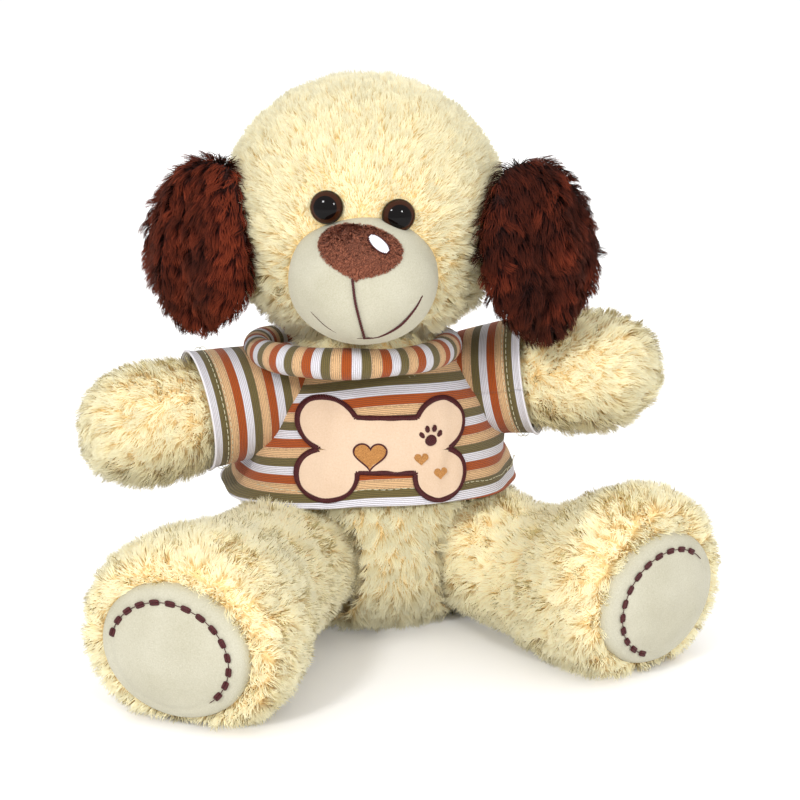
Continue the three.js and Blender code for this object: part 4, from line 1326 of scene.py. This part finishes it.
# distances are in millimetres, across the trunk and up
boneLook = {
    "middle": (-6.0, 103.4), "knobs": (27.6, 12.9), "knob": 13.6, "top": 18.2,
    "bottom": -11.0, "roll": -2, "tall": 0.89,
}
motifs = {
    "heart": {"size": 15, "middle": (-8.0, -1.5), "slant": 20, "part": "heart_motif"},
    "small_heart_high": {
        "size": 7, "middle": (17.0, -3.5), "slant": -25, "part": "small_heart_upper"},
    "small_heart_low": {
        "size": 7, "middle": (27.0, -12.0), "slant": -25, "part": "small_heart_lower"},
}
pawLook = {
    "middle": (22.0, 7.5), "slant": -30, "pad": (3.0, 0.95), "padDrop": -1.9, "toe": (1.2, 1.5),
    "toes": ((-4.7, 1.2, 0.5), (-1.9, 4.1, 0.15), (1.9, 4.1, -0.15), (4.7, 1.2, -0.5)),
}


def boneEdge(count, grow=0.0):
    # a bone's outline: a bar with two round knobs at each end, anticlockwise
    x, z = boneLook["knobs"]
    knob = boneLook["knob"] + grow
    meet = math.acos(min(z / knob, 1))
    high = math.asin((z - boneLook["top"] - grow) / knob)
    low = math.asin((z + boneLook["bottom"] - grow) / knob)
    arcs = []
    for cx, cz, first, last in (
            (x, z, -math.pi / 2 + meet, math.pi + high), (-x, z, -high, 1.5 * math.pi - meet),
            (-x, -z, math.pi / 2 + meet, 2 * math.pi + low),
            (x, -z, math.pi - low, 2.5 * math.pi - meet)):
        t = np.linspace(first, last, 60)
        arcs.append(np.stack([cx + knob * np.cos(t), cz + knob * np.sin(t)], axis=1))
    line = np.concatenate(arcs + [arcs[0][:1]])
    run = runOf(line)
    return between(line, np.linspace(0, run[-1], count + 1)[:-1], run)


def onChest(x, z, lift=0.0):
    # points on the shirt's front, x across the trunk and z its height
    x, z = turned(x, z, math.radians(boneLook["roll"]))
    x = (x + boneLook["middle"][0]) * mm
    z = (z * boneLook["tall"] + boneLook["middle"][1]) * mm
    width, depth = trunkRadii(z)
    off = shirtLook["clear"] + shirtLook["thick"]
    a = -np.arccos(np.clip(x / (width + off), -1, 1))
    spot = shirtSpot(a, z, np.broadcast_to(np.asarray(lift, float), x.shape))
    normal = unit(trunkRight * (np.cos(a) / (width + off))[:, None]
                  + trunkBack * (np.sin(a) / (depth + off))[:, None])
    return spot, normal


def inside(outline, spots):
    # which spots lie inside an outline
    hits = np.zeros(len(spots), bool)
    for p, q in zip(outline, np.roll(outline, -1, axis=0)):
        crossing = (p[1] > spots[:, 1]) != (q[1] > spots[:, 1])
        with np.errstate(divide="ignore", invalid="ignore"):
            at = p[0] + (spots[:, 1] - p[1]) * (q[0] - p[0]) / (q[1] - p[1])
        hits ^= crossing & (spots[:, 0] < at)
    return hits


def bonePart():
    # the outline filled with an even net of triangles
    edge = boneEdge(300, -0.7)
    low, high = edge.min(axis=0), edge.max(axis=0)
    z, x = gridOf(np.arange(low[1], high[1], 1.0), np.arange(low[0], high[0], 1.0))
    net = np.stack([x, z], axis=1)
    spots = np.concatenate([edge, net[inside(boneEdge(300, -1.5), net)]])
    loop = list(range(len(edge)))
    found = delaunay_2d_cdt([Vector(p) for p in spots], list(zip(loop, loop[1:] + loop[:1])), [],
                            1, 1e-6)
    return np.array([v[:] for v in found[0]]), np.array([f for f in found[2] if len(f) == 3])


def makePatch():
    flat, faces = bonePart()
    lift = 0.9 * mm + wave(np.c_[flat, flat[:, :1]] * mm, 18 * mm, 9) * 0.25 * mm
    points, _ = onChest(flat[:, 0], flat[:, 1], lift)
    obj = meshOf("patch", points, faces, finishes["patch"])
    placed(obj, "torso", "patch_fabric", "bone_patch")
    # close stitches across the edge
    edge = boneEdge(430)
    ahead = np.roll(edge, -1, axis=0) - np.roll(edge, 1, axis=0)
    inward = unit(np.stack([-ahead[:, 1], ahead[:, 0]], axis=1))
    t = np.linspace(-1, 1, 6)
    rise = (0.55 + 0.75 * np.sqrt(np.maximum(1 - t ** 2, 0))) * mm
    shapes = []
    for spot, across, along in zip(edge, inward, unit(ahead)):
        flatLine = spot + across * (t * 1.15 + 0.2)[:, None] + along * (t * 0.25)[:, None]
        line, up = onChest(flatLine[:, 0], flatLine[:, 1], rise)
        shapes.append(tubeAlong(line, 0.42 * mm, up, 5, 0.8))
    threadPiece("patch_border", shapes, "torso", "maroon", "bone_border")


def filled(outline, middle, slant, spacing=0.42, lift=1.0):
    # a flat outline filled with close straight stitches
    turn = math.radians(slant)
    spin = np.array([[math.cos(turn), -math.sin(turn)], [math.sin(turn), math.cos(turn)]])
    local = outline @ spin
    t = np.linspace(-1, 1, 7)
    rise = (lift + 0.35 * np.sqrt(np.maximum(1 - t ** 2, 0))) * mm
    shapes = []
    for c in np.arange(local[:, 0].min() + spacing / 2, local[:, 0].max(), spacing):
        crossing = []
        for p, q in zip(local, np.roll(local, -1, axis=0)):
            if (p[0] - c) * (q[0] - c) < 0:
                crossing.append(p[1] + (q[1] - p[1]) * (c - p[0]) / (q[0] - p[0]))
        crossing.sort()
        for low, high in zip(crossing[::2], crossing[1::2]):
            if high - low < 0.15:
                continue
            heights = (low + high) / 2 + t * (high - low) / 2
            flat = np.stack([np.full(7, c), heights], axis=1) @ spin.T + middle
            line, up = onChest(flat[:, 0], flat[:, 1], rise)
            shapes.append(tubeAlong(line, spacing * 0.62 * mm, up, 5, 0.8))
    return shapes


def heart(size):
    t = np.linspace(0, 2 * math.pi, 80, endpoint=False)
    x = 16 * np.sin(t) ** 3
    z = 13 * np.cos(t) - 5 * np.cos(2 * t) - 2 * np.cos(3 * t) - np.cos(4 * t)
    return np.stack([x, z], axis=1) / 32 * size


def disc(radius, stretch=1.0, turn=0.0):
    t = np.linspace(0, 2 * math.pi, 36, endpoint=False)
    return np.stack(turned(radius * np.cos(t), radius * stretch * np.sin(t), turn), axis=1)


def makeMotifs():
    for name, look in motifs.items():
        shapes = filled(heart(look["size"]), np.array(look["middle"]), look["slant"])
        threadPiece(name, shapes, "torso", "tanThread", look["part"])
    middle, slant = np.array(pawLook["middle"]), pawLook["slant"]
    shapes = filled(disc(*pawLook["pad"]), middle + np.array([0, pawLook["padDrop"]]), slant)
    for x, z, turn in pawLook["toes"]:
        shapes += filled(disc(*pawLook["toe"], turn), middle + np.array([x, z]), slant)
    threadPiece("paw_print", shapes, "torso", "maroon", "paw_motif")
    line = heart(motifs["heart"]["size"] + 0.9)
    line = np.concatenate([line, line[:1]]) + np.array(motifs["heart"]["middle"])
    spots, up = onChest(line[:, 0], line[:, 1], 1.0 * mm)
    threadPiece("heart_edge", [tubeAlong(spots, 0.5 * mm, up, 6, 0.8)], "torso", "maroon")


makePatch()
makeMotifs()
print("patch made")

for side in sides:
    for part, finish in (("shank", "black"), ("washer", "nylon")):
        materials = nodes[f"eye_{side}_{part}"].data.materials
        materials.clear()
        materials.append(finishes[finish].material)


# ---------- room, light and camera ----------

roomLook = {
    "target": (0.013, -0.040, 0.125), "elevation": 16.0, "distance": 1.10, "width": 0.40,
    "sensor": 36, "sky": 1.04, "floor": (0.97, 0.97, 0.97), "floorHalf": 4,
    # each lamp's place, power and size
    "lamps": {
        "key": ((-0.75, -1.3, 1.1), 12.0, 0.24), "fill": ((0.75, -1.4, 0.85), 8.0, 0.2),
        "back": ((0.2, 1.7, 0.9), 8.0, 0.4)},
}


def makeRoom():
    scene = bpy.context.scene
    scene.view_settings.view_transform = "Standard"
    finish = Finish("floor", Roughness=0.9)
    finish.shader.inputs["Base Color"].default_value = (*roomLook["floor"], 1)
    half = roomLook["floorHalf"]
    corners = [[-half, -half, 0], [half, -half, 0], [half, half, 0], [-half, half, 0]]
    floor = meshOf("floor", corners, [[0, 1, 2, 3]], finish)
    world = bpy.data.worlds.new("sky")
    world.use_nodes = True
    sky = world.node_tree.nodes["Background"].inputs
    sky["Color"].default_value, sky["Strength"].default_value = (1, 1, 1, 1), roomLook["sky"]
    scene.world = world
    target = Vector(roomLook["target"])
    for name, (place, power, size) in roomLook["lamps"].items():
        light = bpy.data.lights.new(name, "AREA")
        light.energy, light.size = power, size
        obj = bpy.data.objects.new(name, light)
        obj.location = place
        obj.rotation_euler = (target - Vector(place)).to_track_quat("-Z", "Y").to_euler()
        scene.collection.objects.link(obj)
    lens = bpy.data.cameras.new("camera")
    camera = bpy.data.objects.new("camera", lens)
    lift = math.radians(roomLook["elevation"])
    back = Vector((0, -math.cos(lift), math.sin(lift)))
    camera.location = target + back * roomLook["distance"]
    camera.rotation_euler = (-back).to_track_quat("-Z", "Y").to_euler()
    lens.sensor_width = roomLook["sensor"]
    lens.lens = roomLook["sensor"] * roomLook["distance"] / roomLook["width"]
    scene.collection.objects.link(camera)
    scene.camera = camera


makeRoom()
print("room made")
